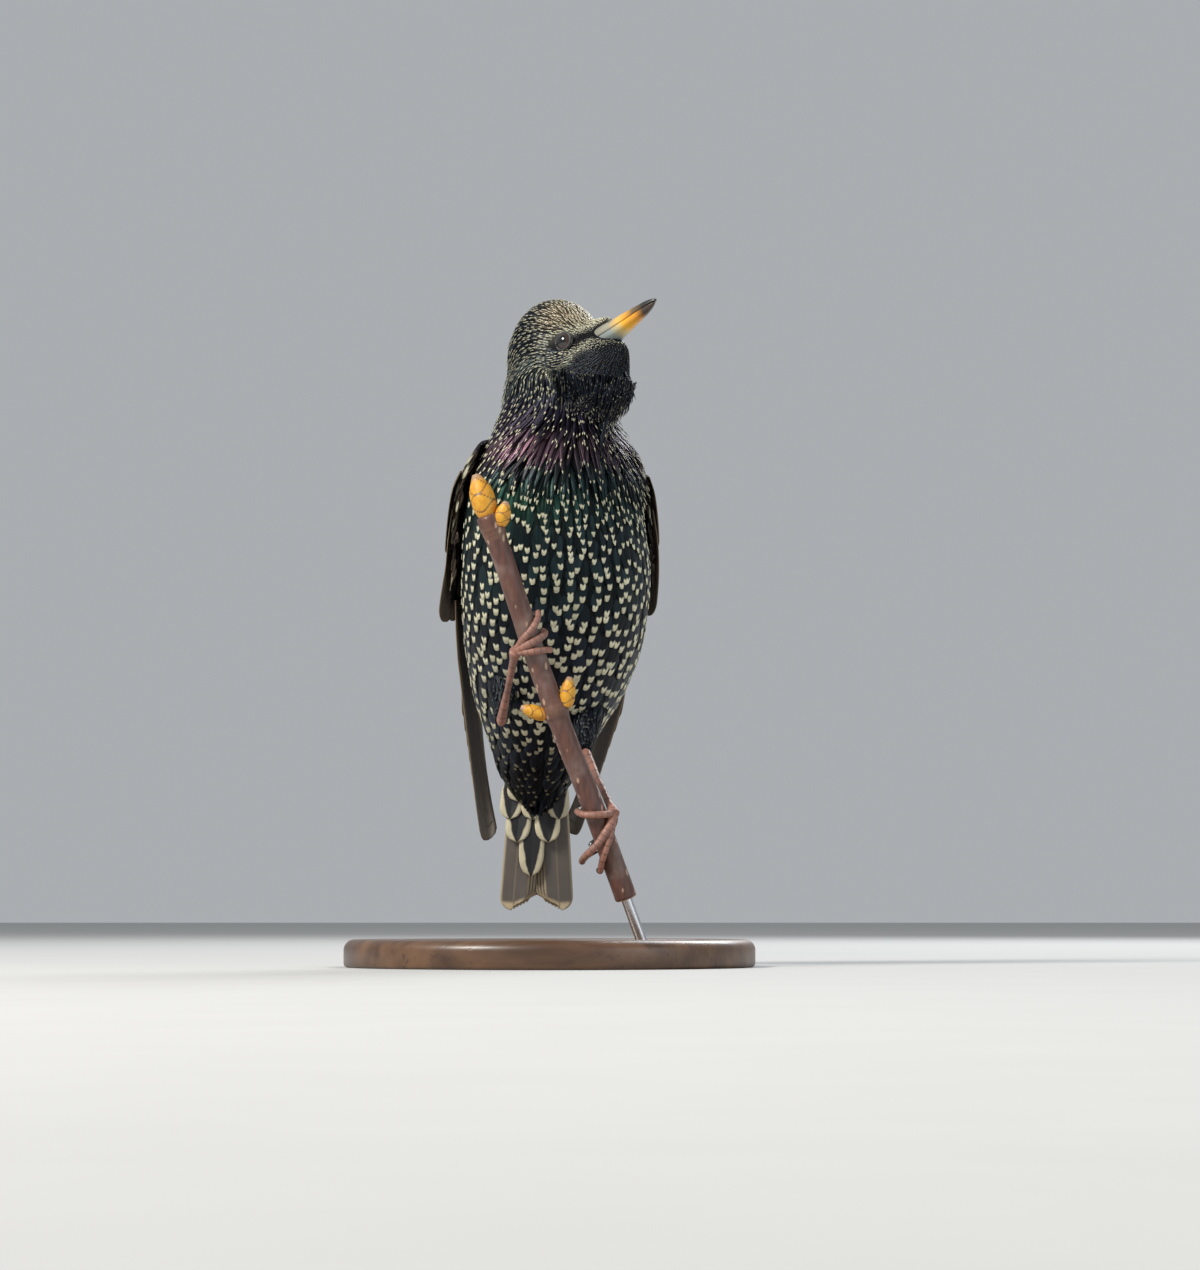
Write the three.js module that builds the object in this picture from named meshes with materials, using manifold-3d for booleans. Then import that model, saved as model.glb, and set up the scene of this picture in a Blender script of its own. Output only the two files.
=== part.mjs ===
// A life-size starling in early-spring plumage, perched upright on a short cut length of twig,
// on a plain display stand: a round base and one slanting rod.
// Units are millimetres and +Z is up. The origin is the centre of the base's underside, on the floor.
// The breast faces -Y. The bird's right side is towards -X, and its bill points to +X, -Y and a little up.
import * as THREE from "three";
import { mergeVertices } from "three/addons/utils/BufferGeometryUtils.js";
import Module from "manifold-3d";

const wasm = await Module();
wasm.setup();

// Clear gap between neighbouring pieces, and thickness of a modelled feather.
const GAP = 0.3;
const VANE_THICKNESS = 0.55;

// Head: a frame of its own. The bill is turned from the bird's left side towards -Y, and raised.
const HEAD_TURN = THREE.MathUtils.degToRad(48);
const HEAD_RAISE = THREE.MathUtils.degToRad(17.5);
const HEAD_POINT = new THREE.Vector3(8.4, -15.1, 176.2);
const FORWARD = new THREE.Vector3(
  Math.cos(HEAD_TURN) * Math.cos(HEAD_RAISE),
  -Math.sin(HEAD_TURN) * Math.cos(HEAD_RAISE),
  Math.sin(HEAD_RAISE),
);
const HEAD_RIGHT = new THREE.Vector3(-Math.sin(HEAD_TURN), -Math.cos(HEAD_TURN), 0);
const HEAD_UP = new THREE.Vector3().crossVectors(HEAD_RIGHT, FORWARD);

// Level sections of the plumage from the tail root up to the neck:
// height, centre x and y, half width, depth towards the breast and depth towards the back.
const TORSO_SECTIONS = [
  { z: 51, x: -3.9, y: 22.5, half: 9.0, front: 6.5, back: 7 },
  { z: 57, x: -3.8, y: 19.8, half: 13.0, front: 10.5, back: 9.5 },
  { z: 66, x: -2.8, y: 16, half: 16.9, front: 15, back: 13 },
  { z: 79, x: -0.8, y: 11.5, half: 23.4, front: 21.5, back: 18 },
  { z: 93, x: 0.8, y: 7, half: 27.6, front: 27, back: 22 },
  { z: 107, x: 1.5, y: 3, half: 29.2, front: 30, back: 23.5 },
  { z: 119, x: 1.6, y: 0, half: 29.2, front: 30, back: 23 },
  { z: 137, x: 1.0, y: -4.5, half: 26.8, front: 27, back: 20.5 },
  { z: 146, x: 1.5, y: -6.5, half: 23.8, front: 23.5, back: 18.5 },
  { z: 158, x: 1.5, y: -10, half: 18.2, front: 17, back: 16 },
  { z: 170, x: 3.2, y: -12.5, half: 15.8, front: 14.5, back: 15 },
];

// Rounded masses of the head, each placed forward and up from HEAD_POINT.
const HEAD_MASSES = [
  { name: "skull", forward: -8.5, up: 4.0, radii: [17, 14, 19.2], blend: 8 },
  { name: "face", forward: 2.5, up: 0.2, radii: [12.5, 8.3, 8.2], blend: 5 },
  { name: "forehead", forward: 9.5, up: 5.3, radii: [7.8, 3.6, 3.0], blend: 3 },
  { name: "chin", forward: 11.5, up: -4.2, radii: [8, 4.8, 4.6], blend: 5 },
  { name: "throat", forward: 6.5, up: -10, radii: [9.5, 8.5, 9.5], blend: 7 },
];

// Bill: along FORWARD from where it leaves the feathers, at heights along HEAD_UP.
const BILL_ROOT_FORWARD = 8;
const BILL_TIP_FORWARD = 35.8;
const MOUTH_LINE_UP = 0.4;
const MOUTH_LINE_RISE = 2.3;

const EYE_RADIUS = 3.0;
const EYE_PLACE = { forward: 4.6, up: 2.8, side: 7.7 };

// Twig: its centre line from the terminal bud down to the cut end, and its radius.
const TWIG_RADIUS = 3.15;
const TWIG_POINTS = [
  [-17.0, -44.5, 127.5],
  [-13.2, -43, 117],
  [-8.7, -41, 103.7],
  [-4.2, -38.5, 89.8],
  [0.9, -36, 75.8],
  [6.3, -33.7, 61.7],
  [12.0, -31, 47.6],
  [17.2, -28.2, 33.5],
  [22.2, -25.4, 19.8],
];

const BASE_RADIUS = 60;
const BASE_HEIGHT = 8;
const ROD_RADIUS = 1.6;

const vec = (x, y, z) => new THREE.Vector3(x, y, z);
const lerp = THREE.MathUtils.lerp;

// A point given forward, up and to the bird's right of HEAD_POINT.
function headPlace(forward, up, side = 0) {
  return HEAD_POINT.clone()
    .addScaledVector(FORWARD, forward)
    .addScaledVector(HEAD_UP, up)
    .addScaledVector(HEAD_RIGHT, side);
}

// Solids: closed meshes made by manifold-3d, and the joins and cuts between them.

function solid(positions, triangles) {
  const geometry = new THREE.BufferGeometry();
  geometry.setAttribute("position", new THREE.Float32BufferAttribute(positions, 3));
  geometry.setIndex(triangles);
  return solidOf(geometry);
}

function solidOf(geometry) {
  const bare = geometry.clone();
  bare.deleteAttribute("normal");
  bare.deleteAttribute("uv");
  const merged = mergeVertices(bare, 1e-4);
  const vertProperties = merged.attributes.position.array;
  const triVerts = new Uint32Array(merged.index.array);
  const make = () => new wasm.Manifold(new wasm.Mesh({ numProp: 3, vertProperties, triVerts }));
  const made = make();
  if (made.volume() >= 0) return made;
  for (let i = 0; i < triVerts.length; i += 3) {
    [triVerts[i + 1], triVerts[i + 2]] = [triVerts[i + 2], triVerts[i + 1]];
  }
  return make();
}

const join = (...pieces) => wasm.Manifold.union(pieces.flat());

// The largest closed surface of a solid, as a geometry.
function geometryOf(made) {
  const bodies = made.decompose();
  const largest = bodies.reduce((a, b) => (a.volume() > b.volume() ? a : b));
  const mesh = largest.getMesh();
  const stride = mesh.numProp;
  const positions = new Float32Array(mesh.numVert * 3);
  for (let i = 0; i < mesh.numVert; i++) {
    positions.set(mesh.vertProperties.subarray(i * stride, i * stride + 3), i * 3);
  }
  const geometry = new THREE.BufferGeometry();
  geometry.setAttribute("position", new THREE.BufferAttribute(positions, 3));
  geometry.setIndex(new THREE.BufferAttribute(new Uint32Array(mesh.triVerts), 1));
  return geometry;
}

// A closed sheet: two faces of rows by columns, split into triangles alike, joined round the rim.
function sheet(rows, columns, outer, inner) {
  const positions = [];
  const triangles = [];
  for (const face of [outer, inner]) {
    for (let i = 0; i <= rows; i++) {
      for (let j = 0; j <= columns; j++) {
        positions.push(...face(i / rows, (2 * j) / columns - 1).toArray());
      }
    }
  }
  const width = columns + 1;
  const under = (rows + 1) * width;
  for (let i = 0; i < rows; i++) {
    for (let j = 0; j < columns; j++) {
      const a = i * width + j;
      const c = a + width;
      triangles.push(a, a + 1, c + 1, a, c + 1, c);
      triangles.push(under + a, under + c + 1, under + a + 1, under + a, under + c, under + c + 1);
    }
  }
  const rim = [];
  for (let j = 0; j < columns; j++) rim.push(j);
  for (let i = 0; i < rows; i++) rim.push(i * width + columns);
  for (let j = columns; j > 0; j--) rim.push(rows * width + j);
  for (let i = rows; i > 0; i--) rim.push(i * width);
  rim.forEach((a, k) => {
    const b = rim[(k + 1) % rim.length];
    triangles.push(a, under + a, under + b, a, under + b, b);
  });
  return solid(positions, triangles);
}

// Rings of points joined in order and closed by a fan at each end.
function stackedRings(rings) {
  const sides = rings[0].length;
  const positions = rings.flat().flatMap((p) => p.toArray());
  const middle = (ring) => ring.reduce((sum, p) => sum.add(p), vec(0, 0, 0)).divideScalar(sides);
  const first = rings.length * sides;
  positions.push(...middle(rings[0]).toArray(), ...middle(rings[rings.length - 1]).toArray());
  const triangles = [];
  for (let i = 0; i < rings.length - 1; i++) {
    for (let j = 0; j < sides; j++) {
      const a = i * sides + j;
      const b = i * sides + ((j + 1) % sides);
      triangles.push(a, b, b + sides, a, b + sides, a + sides);
    }
  }
  const last = (rings.length - 1) * sides;
  for (let j = 0; j < sides; j++) {
    const next = (j + 1) % sides;
    triangles.push(first, next, j, first + 1, last + j, last + next);
  }
  return solid(positions, triangles);
}

// A round limb along a smooth line through points, its radius given by a function of 0 to 1.
function limb(points, radiusAt, steps, sides) {
  const line = new THREE.CatmullRomCurve3(points, false, "centripetal");
  const frames = line.computeFrenetFrames(steps, false);
  const rings = [];
  for (let i = 0; i <= steps; i++) {
    const centre = line.getPointAt(i / steps);
    const radius = radiusAt(i / steps);
    const ring = [];
    for (let j = 0; j < sides; j++) {
      const angle = (2 * Math.PI * j) / sides;
      ring.push(
        centre
          .clone()
          .addScaledVector(frames.normals[i], radius * Math.cos(angle))
          .addScaledVector(frames.binormals[i], radius * Math.sin(angle)),
      );
    }
    rings.push(ring);
  }
  return stackedRings(rings);
}

// An ellipsoid with its radii along three directions.
function ellipsoid(centre, directions, radii, sides = 16) {
  const ball = new THREE.SphereGeometry(1, sides, Math.round(sides * 0.6));
  const [a, b, c] = directions.map((d, i) => d.clone().multiplyScalar(radii[i]));
  ball.applyMatrix4(new THREE.Matrix4().makeBasis(a, b, c).setPosition(centre));
  return solidOf(ball);
}

// Plumage surface: a field that is about the distance in millimetres outside the feather tips.

function sectionAt(z) {
  const rows = TORSO_SECTIONS;
  const at = THREE.MathUtils.clamp(z, rows[0].z, rows[rows.length - 1].z);
  let i = 0;
  while (i < rows.length - 2 && at > rows[i + 1].z) i++;
  const span = rows[i + 1].z - rows[i].z;
  const t = (at - rows[i].z) / span;
  const slope = (key, k) => {
    const low = rows[Math.max(k - 1, 0)];
    const high = rows[Math.min(k + 1, rows.length - 1)];
    return (high[key] - low[key]) / (high.z - low.z);
  };
  const value = (key) =>
    (2 * t ** 3 - 3 * t ** 2 + 1) * rows[i][key] +
    (t ** 3 - 2 * t ** 2 + t) * span * slope(key, i) +
    (3 * t ** 2 - 2 * t ** 3) * rows[i + 1][key] +
    (t ** 3 - t ** 2) * span * slope(key, i + 1);
  return { x: value("x"), y: value("y"), half: value("half"), front: value("front"), back: value("back") };
}

function torsoField(p) {
  const s = sectionAt(p.z);
  const dx = p.x - s.x;
  const dy = p.y - s.y;
  const ratio = Math.hypot(dx / s.half, dy / (dy < 0 ? s.front : s.back));
  const reach = Math.hypot(dx, dy);
  const sideways = ratio > 1e-6 ? reach - reach / ratio : -s.half;
  const beyond = Math.max(
    TORSO_SECTIONS[0].z - p.z,
    p.z - TORSO_SECTIONS[TORSO_SECTIONS.length - 1].z,
    0,
  );
  return sideways + beyond;
}

function massField(p, mass) {
  const from = p.clone().sub(headPlace(mass.forward, mass.up));
  const along = [from.dot(FORWARD), from.dot(HEAD_RIGHT), from.dot(HEAD_UP)];
  const ratio = Math.hypot(...along.map((d, i) => d / mass.radii[i]));
  const gradient = Math.hypot(...along.map((d, i) => d / mass.radii[i] ** 2));
  return gradient > 1e-6 ? (ratio * (ratio - 1)) / gradient : -Math.min(...mass.radii);
}

function smoothMin(a, b, blend) {
  const h = Math.max(blend - Math.abs(a - b), 0) / blend;
  return Math.min(a, b) - (h * h * blend) / 4;
}

function plumageField(p) {
  return HEAD_MASSES.reduce((d, mass) => smoothMin(d, massField(p, mass), mass.blend), torsoField(p));
}

function outwards(p) {
  const step = 0.2;
  const change = (axis) =>
    plumageField(p.clone().addScaledVector(axis, step)) -
    plumageField(p.clone().addScaledVector(axis, -step));
  return vec(change(vec(1, 0, 0)), change(vec(0, 1, 0)), change(vec(0, 0, 1))).normalize();
}

// The point moved straight out or in until it stands the given distance off the plumage.
function settle(p, distance) {
  const moved = p.clone();
  for (let i = 0; i < 4; i++) {
    moved.addScaledVector(outwards(moved), distance - plumageField(moved));
  }
  return moved;
}

// The line inside the bird that rays leave from: up the trunk and neck, ending in the skull.
const CORE_POINTS = [
  vec(-3.8, 20.2, 57),
  vec(-1.8, 14, 72),
  vec(0.2, 7, 93),
  vec(1.2, 0, 119),
  vec(0.8, -6.5, 146),
  vec(3.5, -11.5, 162),
  headPlace(-5.5, 0),
];
const BODY_SIDES = 26;

// One smooth body from tail root to crown, offset outwards: rays from the core to the plumage field.
function bodyForm(offset) {
  const core = new THREE.CatmullRomCurve3(CORE_POINTS, false, "centripetal");
  const stations = [];
  const capSteps = 3;
  const trunkSteps = 20;
  for (let i = 1; i <= capSteps; i++) {
    stations.push({ along: 0, lift: (-Math.PI / 2) * (1 - i / (capSteps + 1)) });
  }
  for (let i = 0; i <= trunkSteps; i++) stations.push({ along: i / trunkSteps, lift: 0 });
  for (let i = 1; i <= capSteps; i++) {
    stations.push({ along: 1, lift: (Math.PI / 2) * (i / (capSteps + 0.6)) });
  }
  const rings = stations.map(({ along, lift }) => {
    const centre = core.getPointAt(along);
    const axis = core.getTangentAt(along);
    const sideways = vec(1, 0, 0).addScaledVector(axis, -axis.x).normalize();
    const ahead = new THREE.Vector3().crossVectors(sideways, axis);
    const ring = [];
    for (let j = 0; j < BODY_SIDES; j++) {
      const angle = (2 * Math.PI * j) / BODY_SIDES;
      const ray = vec(0, 0, 0)
        .addScaledVector(sideways, Math.cos(lift) * Math.cos(angle))
        .addScaledVector(ahead, Math.cos(lift) * Math.sin(angle))
        .addScaledVector(axis, Math.sin(lift));
      let near = 0;
      let far = 60;
      for (let k = 0; k < 30; k++) {
        const mid = (near + far) / 2;
        if (plumageField(centre.clone().addScaledVector(ray, mid)) < offset) near = mid;
        else far = mid;
      }
      ring.push(centre.clone().addScaledVector(ray, near));
    }
    return ring;
  });
  return stackedRings(rings);
}

const bodyWhole = bodyForm(0);
const bodyCleared = bodyForm(GAP + 0.1);

// Feathers, built as closed vanes.

// A body lock: it starts on the plumage at a point, runs down its lie, and lifts towards its tip.
function lock(start, lie, length, halfWidth, lift) {
  const steps = 4;
  const points = [settle(start, -0.9)];
  const sides = [];
  const outs = [];
  let here = settle(start, 0);
  for (let i = 0; i <= steps; i++) {
    const out = outwards(here);
    const ahead = lie(here).addScaledVector(out, -lie(here).dot(out)).normalize();
    sides.push(new THREE.Vector3().crossVectors(out, ahead));
    outs.push(out);
    const t = i / steps;
    points[i] = settle(here, lerp(-0.9, lift, t ** 0.8));
    here = settle(here.clone().addScaledVector(ahead, length / steps), 0);
  }
  const face = (turn) => (s, v) => {
    const i = Math.round(s * steps);
    const half = halfWidth * (1 - s ** 1.6) + 0.25;
    const keel = 0.35 * (1 - v * v);
    return points[i]
      .clone()
      .addScaledVector(sides[i], v * half)
      .addScaledVector(outs[i], keel + turn * (VANE_THICKNESS / 2));
  };
  return sheet(steps, 1, face(1), face(-1));
}

// Wing: an edge line towards the breast, an edge line towards the back, both from wrist to tip.
const WINGS = [
  {
    name: "wing_right", flare: 1,
    leading: [
      [-16.5, -12, 150], [-22.6, -7, 138], [-27.6, 0, 120], [-29.6, 5, 107.5], [-29.8, 10, 93],
      [-28.2, 15, 78], [-25.8, 19.5, 63], [-23.4, 22.5, 50], [-20.6, 24.3, 36.5],
    ],
    trailing: [
      [-10, 2, 156], [-8, 13, 143], [-5, 23, 123], [-4, 29, 108], [-6, 33.5, 93],
      [-10, 35, 77], [-13, 34, 62], [-14.6, 31, 49.5], [-15.6, 28.5, 38.5],
    ],
  },
  {
    name: "wing_left", flare: 0.25,
    leading: [
      [20.5, -10, 150], [24.8, -3.5, 138], [27.4, 6, 120], [27.6, 11, 107.5], [26.2, 16.5, 93],
      [23.0, 21, 78], [18.0, 26, 63], [12.8, 30.5, 50], [7.6, 33.5, 38.4],
    ],
    trailing: [
      [12, 2, 156], [10, 12, 143], [6.5, 23, 123], [5.5, 29, 108], [5, 33.5, 93],
      [5, 36.5, 77], [4, 38, 62], [3, 37.5, 49.5], [3.2, 35.5, 40.5],
    ],
  },
];

// Flight feathers of a folded wing, in the wing's own places: "along" from wrist 0 to tip 1,
// "across" from the leading edge 0 to the trailing edge 1.
const PRIMARIES = { count: 5, tipAlong: [1.0, 0.66], tipAcross: [0.5, 0.3], rootAlong: 0.3, half: 3.6 };
const SECONDARIES = { count: 4, tipAlong: [0.64, 0.58], tipAcross: [0.38, 0.66], rootAlong: 0.2, half: 4.4 };
const TERTIALS = { count: 2, tipAlong: [0.56, 0.46], tipAcross: [0.74, 0.9], rootAlong: 0.12, half: 5.6 };
const GREATER_COVERTS = { count: 5, length: 0.25, rootAlong: 0.16, half: 4.2, flare: 1.7 };
const MEDIAN_COVERTS = { count: 4, length: 0.13, rootAlong: 0.09, half: 4.6, flare: 0.3 };
const WING_CLEARANCE = 0.75;

function wingSurface(wing) {
  const curve = (list) =>
    new THREE.CatmullRomCurve3(list.map((p) => vec(...p)), false, "centripetal");
  const leading = curve(wing.leading);
  const trailing = curve(wing.trailing);
  const flat = (along, across) =>
    leading.getPoint(THREE.MathUtils.clamp(along, 0, 1)).lerp(
      trailing.getPoint(THREE.MathUtils.clamp(along, 0, 1)),
      across,
    );
  // Clear of the plumage where the body is beneath, and a little arched where it isn't.
  const place = (along, across, height) => {
    const p = flat(along, across);
    const bow = Math.sin(Math.PI * THREE.MathUtils.clamp(across, 0, 1)) * 2.2;
    const back = vec(p.x < leading.getPoint(0.5).x * 0 ? -0.5 : 0.5, 0.85, 0).normalize();
    p.addScaledVector(back, bow);
    const distance = plumageField(p);
    const push = Math.max(WING_CLEARANCE - distance, 0);
    if (push > 0) p.addScaledVector(outwards(p), push);
    const again = WING_CLEARANCE - plumageField(p);
    if (again > 0) p.addScaledVector(outwards(p), again);
    const out = outwards(p).lerp(back, THREE.MathUtils.smoothstep(plumageField(p), 2, 9)).normalize();
    return p.addScaledVector(out, height);
  };
  return place;
}

// One vane on the wing surface: root and tip places, half width in millimetres, height over the wing.
function wingVane(place, root, tip, half, height, tilt, rows = 6, flare = 0) {
  const centre = (s) => [lerp(root[0], tip[0], s), lerp(root[1], tip[1], s)];
  const spanAt = (along) => place(along, 0, 0).distanceTo(place(along, 1, 0));
  const face = (turn) => (s, v) => {
    const [along, across] = centre(s);
    const round = Math.sqrt(Math.max(1 - Math.max((s - 0.82) / 0.18, 0) ** 2, 0));
    const width = half * (0.55 + 0.45 * Math.min(s / 0.3, 1)) * Math.max(round, 0.12);
    const sideways = (v * width) / Math.max(spanAt(along), 4);
    const sunk = lerp(-0.5, 0, Math.min(s / 0.25, 1));
    const lift = height + sunk - tilt * v + 0.25 * (1 - Math.abs(v)) + flare * s * s;
    return place(along, across + sideways, lift + turn * (VANE_THICKNESS / 2));
  };
  return sheet(rows, 1, face(1), face(-1));
}

function wingSolid(wing) {
  const place = wingSurface(wing);
  const pieces = [];
  // Shoulder: the padded fore part of the folded wing, from the wrist to under the coverts.
  const shoulder = (turn) => (s, v) => {
    const along = lerp(0.0, 0.42, s);
    const edge = Math.sqrt(Math.max(1 - v ** 4, 0)) * Math.min(Math.sqrt(s / 0.12), 1);
    const thick = lerp(2.6, 0.9, s) * Math.max(edge, 0.12);
    return place(along, 0.5 + 0.5 * v, turn > 0 ? 0.3 + thick : -0.25);
  };
  pieces.push(sheet(4, 4, shoulder(1), shoulder(-1)));
  const stack = (group, level, tilt, rows) => {
    for (let k = 0; k < group.count; k++) {
      const t = group.count > 1 ? k / (group.count - 1) : 0;
      const tip = [lerp(...group.tipAlong, t), lerp(...group.tipAcross, t)];
      const root = [group.rootAlong, lerp(group.from, group.to, t)];
      pieces.push(wingVane(place, root, tip, group.half, level + 0.12 * k, tilt, rows));
    }
  };
  stack({ ...PRIMARIES, from: 0.12, to: 0.36 }, 0.15, 0.35, 4);
  stack({ ...SECONDARIES, from: 0.3, to: 0.6 }, 0.9, 0.35, 3);
  stack({ ...TERTIALS, from: 0.62, to: 0.84 }, 1.4, 0.3, 3);
  for (const [group, level] of [[GREATER_COVERTS, 1.7], [MEDIAN_COVERTS, 2.2]]) {
    for (let k = 0; k < group.count; k++) {
      const across = lerp(0.08, 0.9, k / (group.count - 1));
      const root = [group.rootAlong, across];
      const tip = [group.rootAlong + group.length + 0.02 * Math.sin(3 * across), across + 0.02];
      const flare = group.flare * wing.flare * (1 - across);
      pieces.push(wingVane(place, root, tip, group.half, level + 0.08 * (k % 2), 0.25, 3, flare));
    }
  }
  return join(pieces).subtract(bodyCleared);
}

// Tail: six pairs of feathers that hang from the rump, the outer pair lowest and nearest the breast side.
const TAIL_ROOT = vec(-3.6, 23.5, 66);
const TAIL_TIP = vec(-4.5, 32.5, 16.6);
const TAIL_PAIRS = 5;
const TAIL_HALF_WIDTH = { root: 3.6, tip: 6.6 };
const TAIL_FEATHER_HALF = 4.24;

function tailPlace(along, aside, height) {
  const down = TAIL_TIP.clone().sub(TAIL_ROOT).normalize();
  const breastwards = vec(0, -1, 0).addScaledVector(down, down.y).normalize();
  return TAIL_ROOT.clone()
    .lerp(TAIL_TIP, along)
    .addScaledVector(vec(1, 0, 0), aside)
    .addScaledVector(breastwards, height - 0.012 * aside * aside);
}

function tailSolid() {
  const pieces = [];
  for (const side of [-1, 1]) {
    for (let k = 0; k < TAIL_PAIRS; k++) {
      const t = k / (TAIL_PAIRS - 1);
      const root = side * lerp(0.6, TAIL_HALF_WIDTH.root, t);
      const tip = side * lerp(2.2, TAIL_HALF_WIDTH.tip, t);
      const length = lerp(0.955, 1.0, t);
      const height = lerp(-1.1, 1.1, t) + (side > 0 ? 0.12 : 0);
      const face = (turn) => (s, v) => {
        const round = Math.sqrt(Math.max(1 - Math.max((s - 0.86) / 0.14, 0) ** 2.4, 0));
        const half = TAIL_FEATHER_HALF * (0.5 + 0.5 * Math.min(s / 0.4, 1)) * Math.max(round, 0.25);
        const notch = 1 - 0.012 * (1 + side * v);
        const lift = height + 0.18 * side * v + turn * (VANE_THICKNESS / 2);
        return tailPlace(length * s * notch, lerp(root, tip, s) + v * half, lift);
      };
      pieces.push(sheet(5, 1, face(1), face(-1)));
    }
  }
  return join(pieces);
}

// Long feathers under the tail root, in tiers: each row's tips reach a share of the tail's length.
const UNDERTAIL_ROWS = [
  { tip: 0.79, root: 0.4, asides: [-1.6], half: 3.7, level: 2.6 },
  { tip: 0.66, root: 0.3, asides: [-6.0, 2.4], half: 3.4, level: 3.1 },
  { tip: 0.55, root: 0.25, asides: [-7.6, -2.2, 4.2], half: 3.3, level: 3.7 },
  { tip: 0.43, root: 0.1, asides: [-8.8, -4.2, 0.6, 5.4], half: 3.2, level: 4.4 },
];

function undertailSolid() {
  const pieces = [];
  const core = (turn) => (s, v) =>
    tailPlace(lerp(0.1, 0.62, s), v * lerp(9.0, 5.0, s), turn > 0 ? lerp(4.2, 2.9, s) : 2.15);
  pieces.push(sheet(4, 4, core(1), core(-1)));
  for (const row of UNDERTAIL_ROWS) {
    row.asides.forEach((aside, k) => {
      const face = (turn) => (s, v) => {
        const tip = Math.max(1 - Math.max((s - 0.55) / 0.45, 0) ** 1.8, 0.1);
        const half = row.half * Math.min(0.6 + s, 1) * tip;
        const lift = row.level + 0.1 * (k % 2) + turn * (VANE_THICKNESS / 2);
        return tailPlace(lerp(row.root, row.tip, s), aside * lerp(0.8, 1, s) + v * half, lift);
      };
      pieces.push(sheet(5, 1, face(1), face(-1)));
    });
  }
  return join(pieces);
}

// Head, neck and torso: the whole body parted by two thin cuts.
const NECK_CUT_UP = -6.5;
const TORSO_CUT_HEIGHT = 151;
const TORSO_CUT_LEAN = 0.25;

function hacklesOn() {
  const pieces = [];
  const lie = (p) => {
    const back = p.clone().sub(headPlace(16, -3)).normalize();
    const fall = THREE.MathUtils.smoothstep(176 - p.z, 0, 14);
    return back.lerp(vec(0.08, 0.1, -1), fall).normalize();
  };
  const rows = 3;
  for (let r = 0; r < rows; r++) {
    const count = 5 + (r % 2);
    for (let k = 0; k < count; k++) {
      const side = lerp(-8.5, 8.5, k / (count - 1));
      const seed = headPlace(lerp(11.5, 6.5, r / (rows - 1)), lerp(-9.5, -20, r / (rows - 1)), side);
      const ray = seed.clone().sub(vec(6, -16, 168 - r * 2)).setLength(22);
      const start = settle(vec(6, -16, 168 - r * 2).add(ray), 0);
      pieces.push(lock(start, lie, 10.5, 1.5, 1.7));
    }
  }
  return pieces;
}

function eyeSocket(side) {
  const centre = headPlace(EYE_PLACE.forward, EYE_PLACE.up, side * EYE_PLACE.side);
  return ellipsoid(centre, [FORWARD, HEAD_UP, HEAD_RIGHT], Array(3).fill(EYE_RADIUS + GAP + 0.08));
}

// Lids: a soft ring round each eye.
function lids(side) {
  const ring = new THREE.TorusGeometry(2.95, 0.62, 5, 14);
  const centre = headPlace(EYE_PLACE.forward, EYE_PLACE.up, side * (EYE_PLACE.side + 1.9));
  ring.applyMatrix4(new THREE.Matrix4().makeBasis(FORWARD, HEAD_UP, HEAD_RIGHT).setPosition(centre));
  return solidOf(ring);
}

// Bill: half of it above the mouth line or below it, as stacked sections from root to tip.
function mandible(part, extra = 0) {
  const steps = 9;
  const arcs = 7;
  const rings = [];
  const upper = part === "upper";
  for (let i = 0; i <= steps; i++) {
    const q = i / steps;
    const forward = lerp(BILL_ROOT_FORWARD, BILL_TIP_FORWARD - (upper ? 0 : 0.8), q);
    const mouth = MOUTH_LINE_UP + MOUTH_LINE_RISE * q + (upper ? 1 : -1) * (GAP / 2 - extra);
    const round = Math.sqrt(Math.max(1 - Math.max((q - 0.8) / 0.21, 0) ** 2.2, 0.12));
    const half = lerp(5.5, 1.1, q ** 0.72) * round + extra;
    const depth = (upper ? lerp(4.6, 1.35, q) : lerp(3.0, 1.2, q)) * round + 2 * extra;
    const ring = [];
    for (let j = 0; j <= arcs; j++) {
      const angle = (Math.PI * j) / arcs;
      const rise = depth * Math.sin(angle) ** 0.85;
      ring.push(headPlace(forward, mouth + (upper ? rise : -rise), half * Math.cos(angle)));
    }
    rings.push(ring);
  }
  return stackedRings(rings);
}

function billSolids() {
  const nostril = (side) =>
    ellipsoid(headPlace(18.2, 3.1, side * 2.5), [FORWARD, HEAD_UP, HEAD_RIGHT], [1.5, 0.55, 0.8], 10);
  const upper = mandible("upper").subtract(bodyCleared).subtract(join(nostril(1), nostril(-1)));
  const lower = mandible("lower").subtract(bodyCleared);
  return { upper, lower };
}

// The gape: the line of the mouth carried back into the feathers.
function gapeGroove(side) {
  const a = headPlace(13.5, MOUTH_LINE_UP + 0.3, side * 4.6);
  const b = headPlace(7.5, MOUTH_LINE_UP - 0.9, side * 8.4);
  return limb([a, a.clone().lerp(b, 0.5), b], () => 0.45, 3, 6);
}

// Twig.
const twigLine = new THREE.CatmullRomCurve3(TWIG_POINTS.map((p) => vec(...p)), false, "centripetal");

function twigRadius(t) {
  const node = (at, wide, more) => more * Math.exp(-(((t - at) / wide) ** 2));
  return TWIG_RADIUS + node(0.02, 0.03, 0.5) + node(0.505, 0.02, 0.75) - 0.15 * (1 - t);
}

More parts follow.
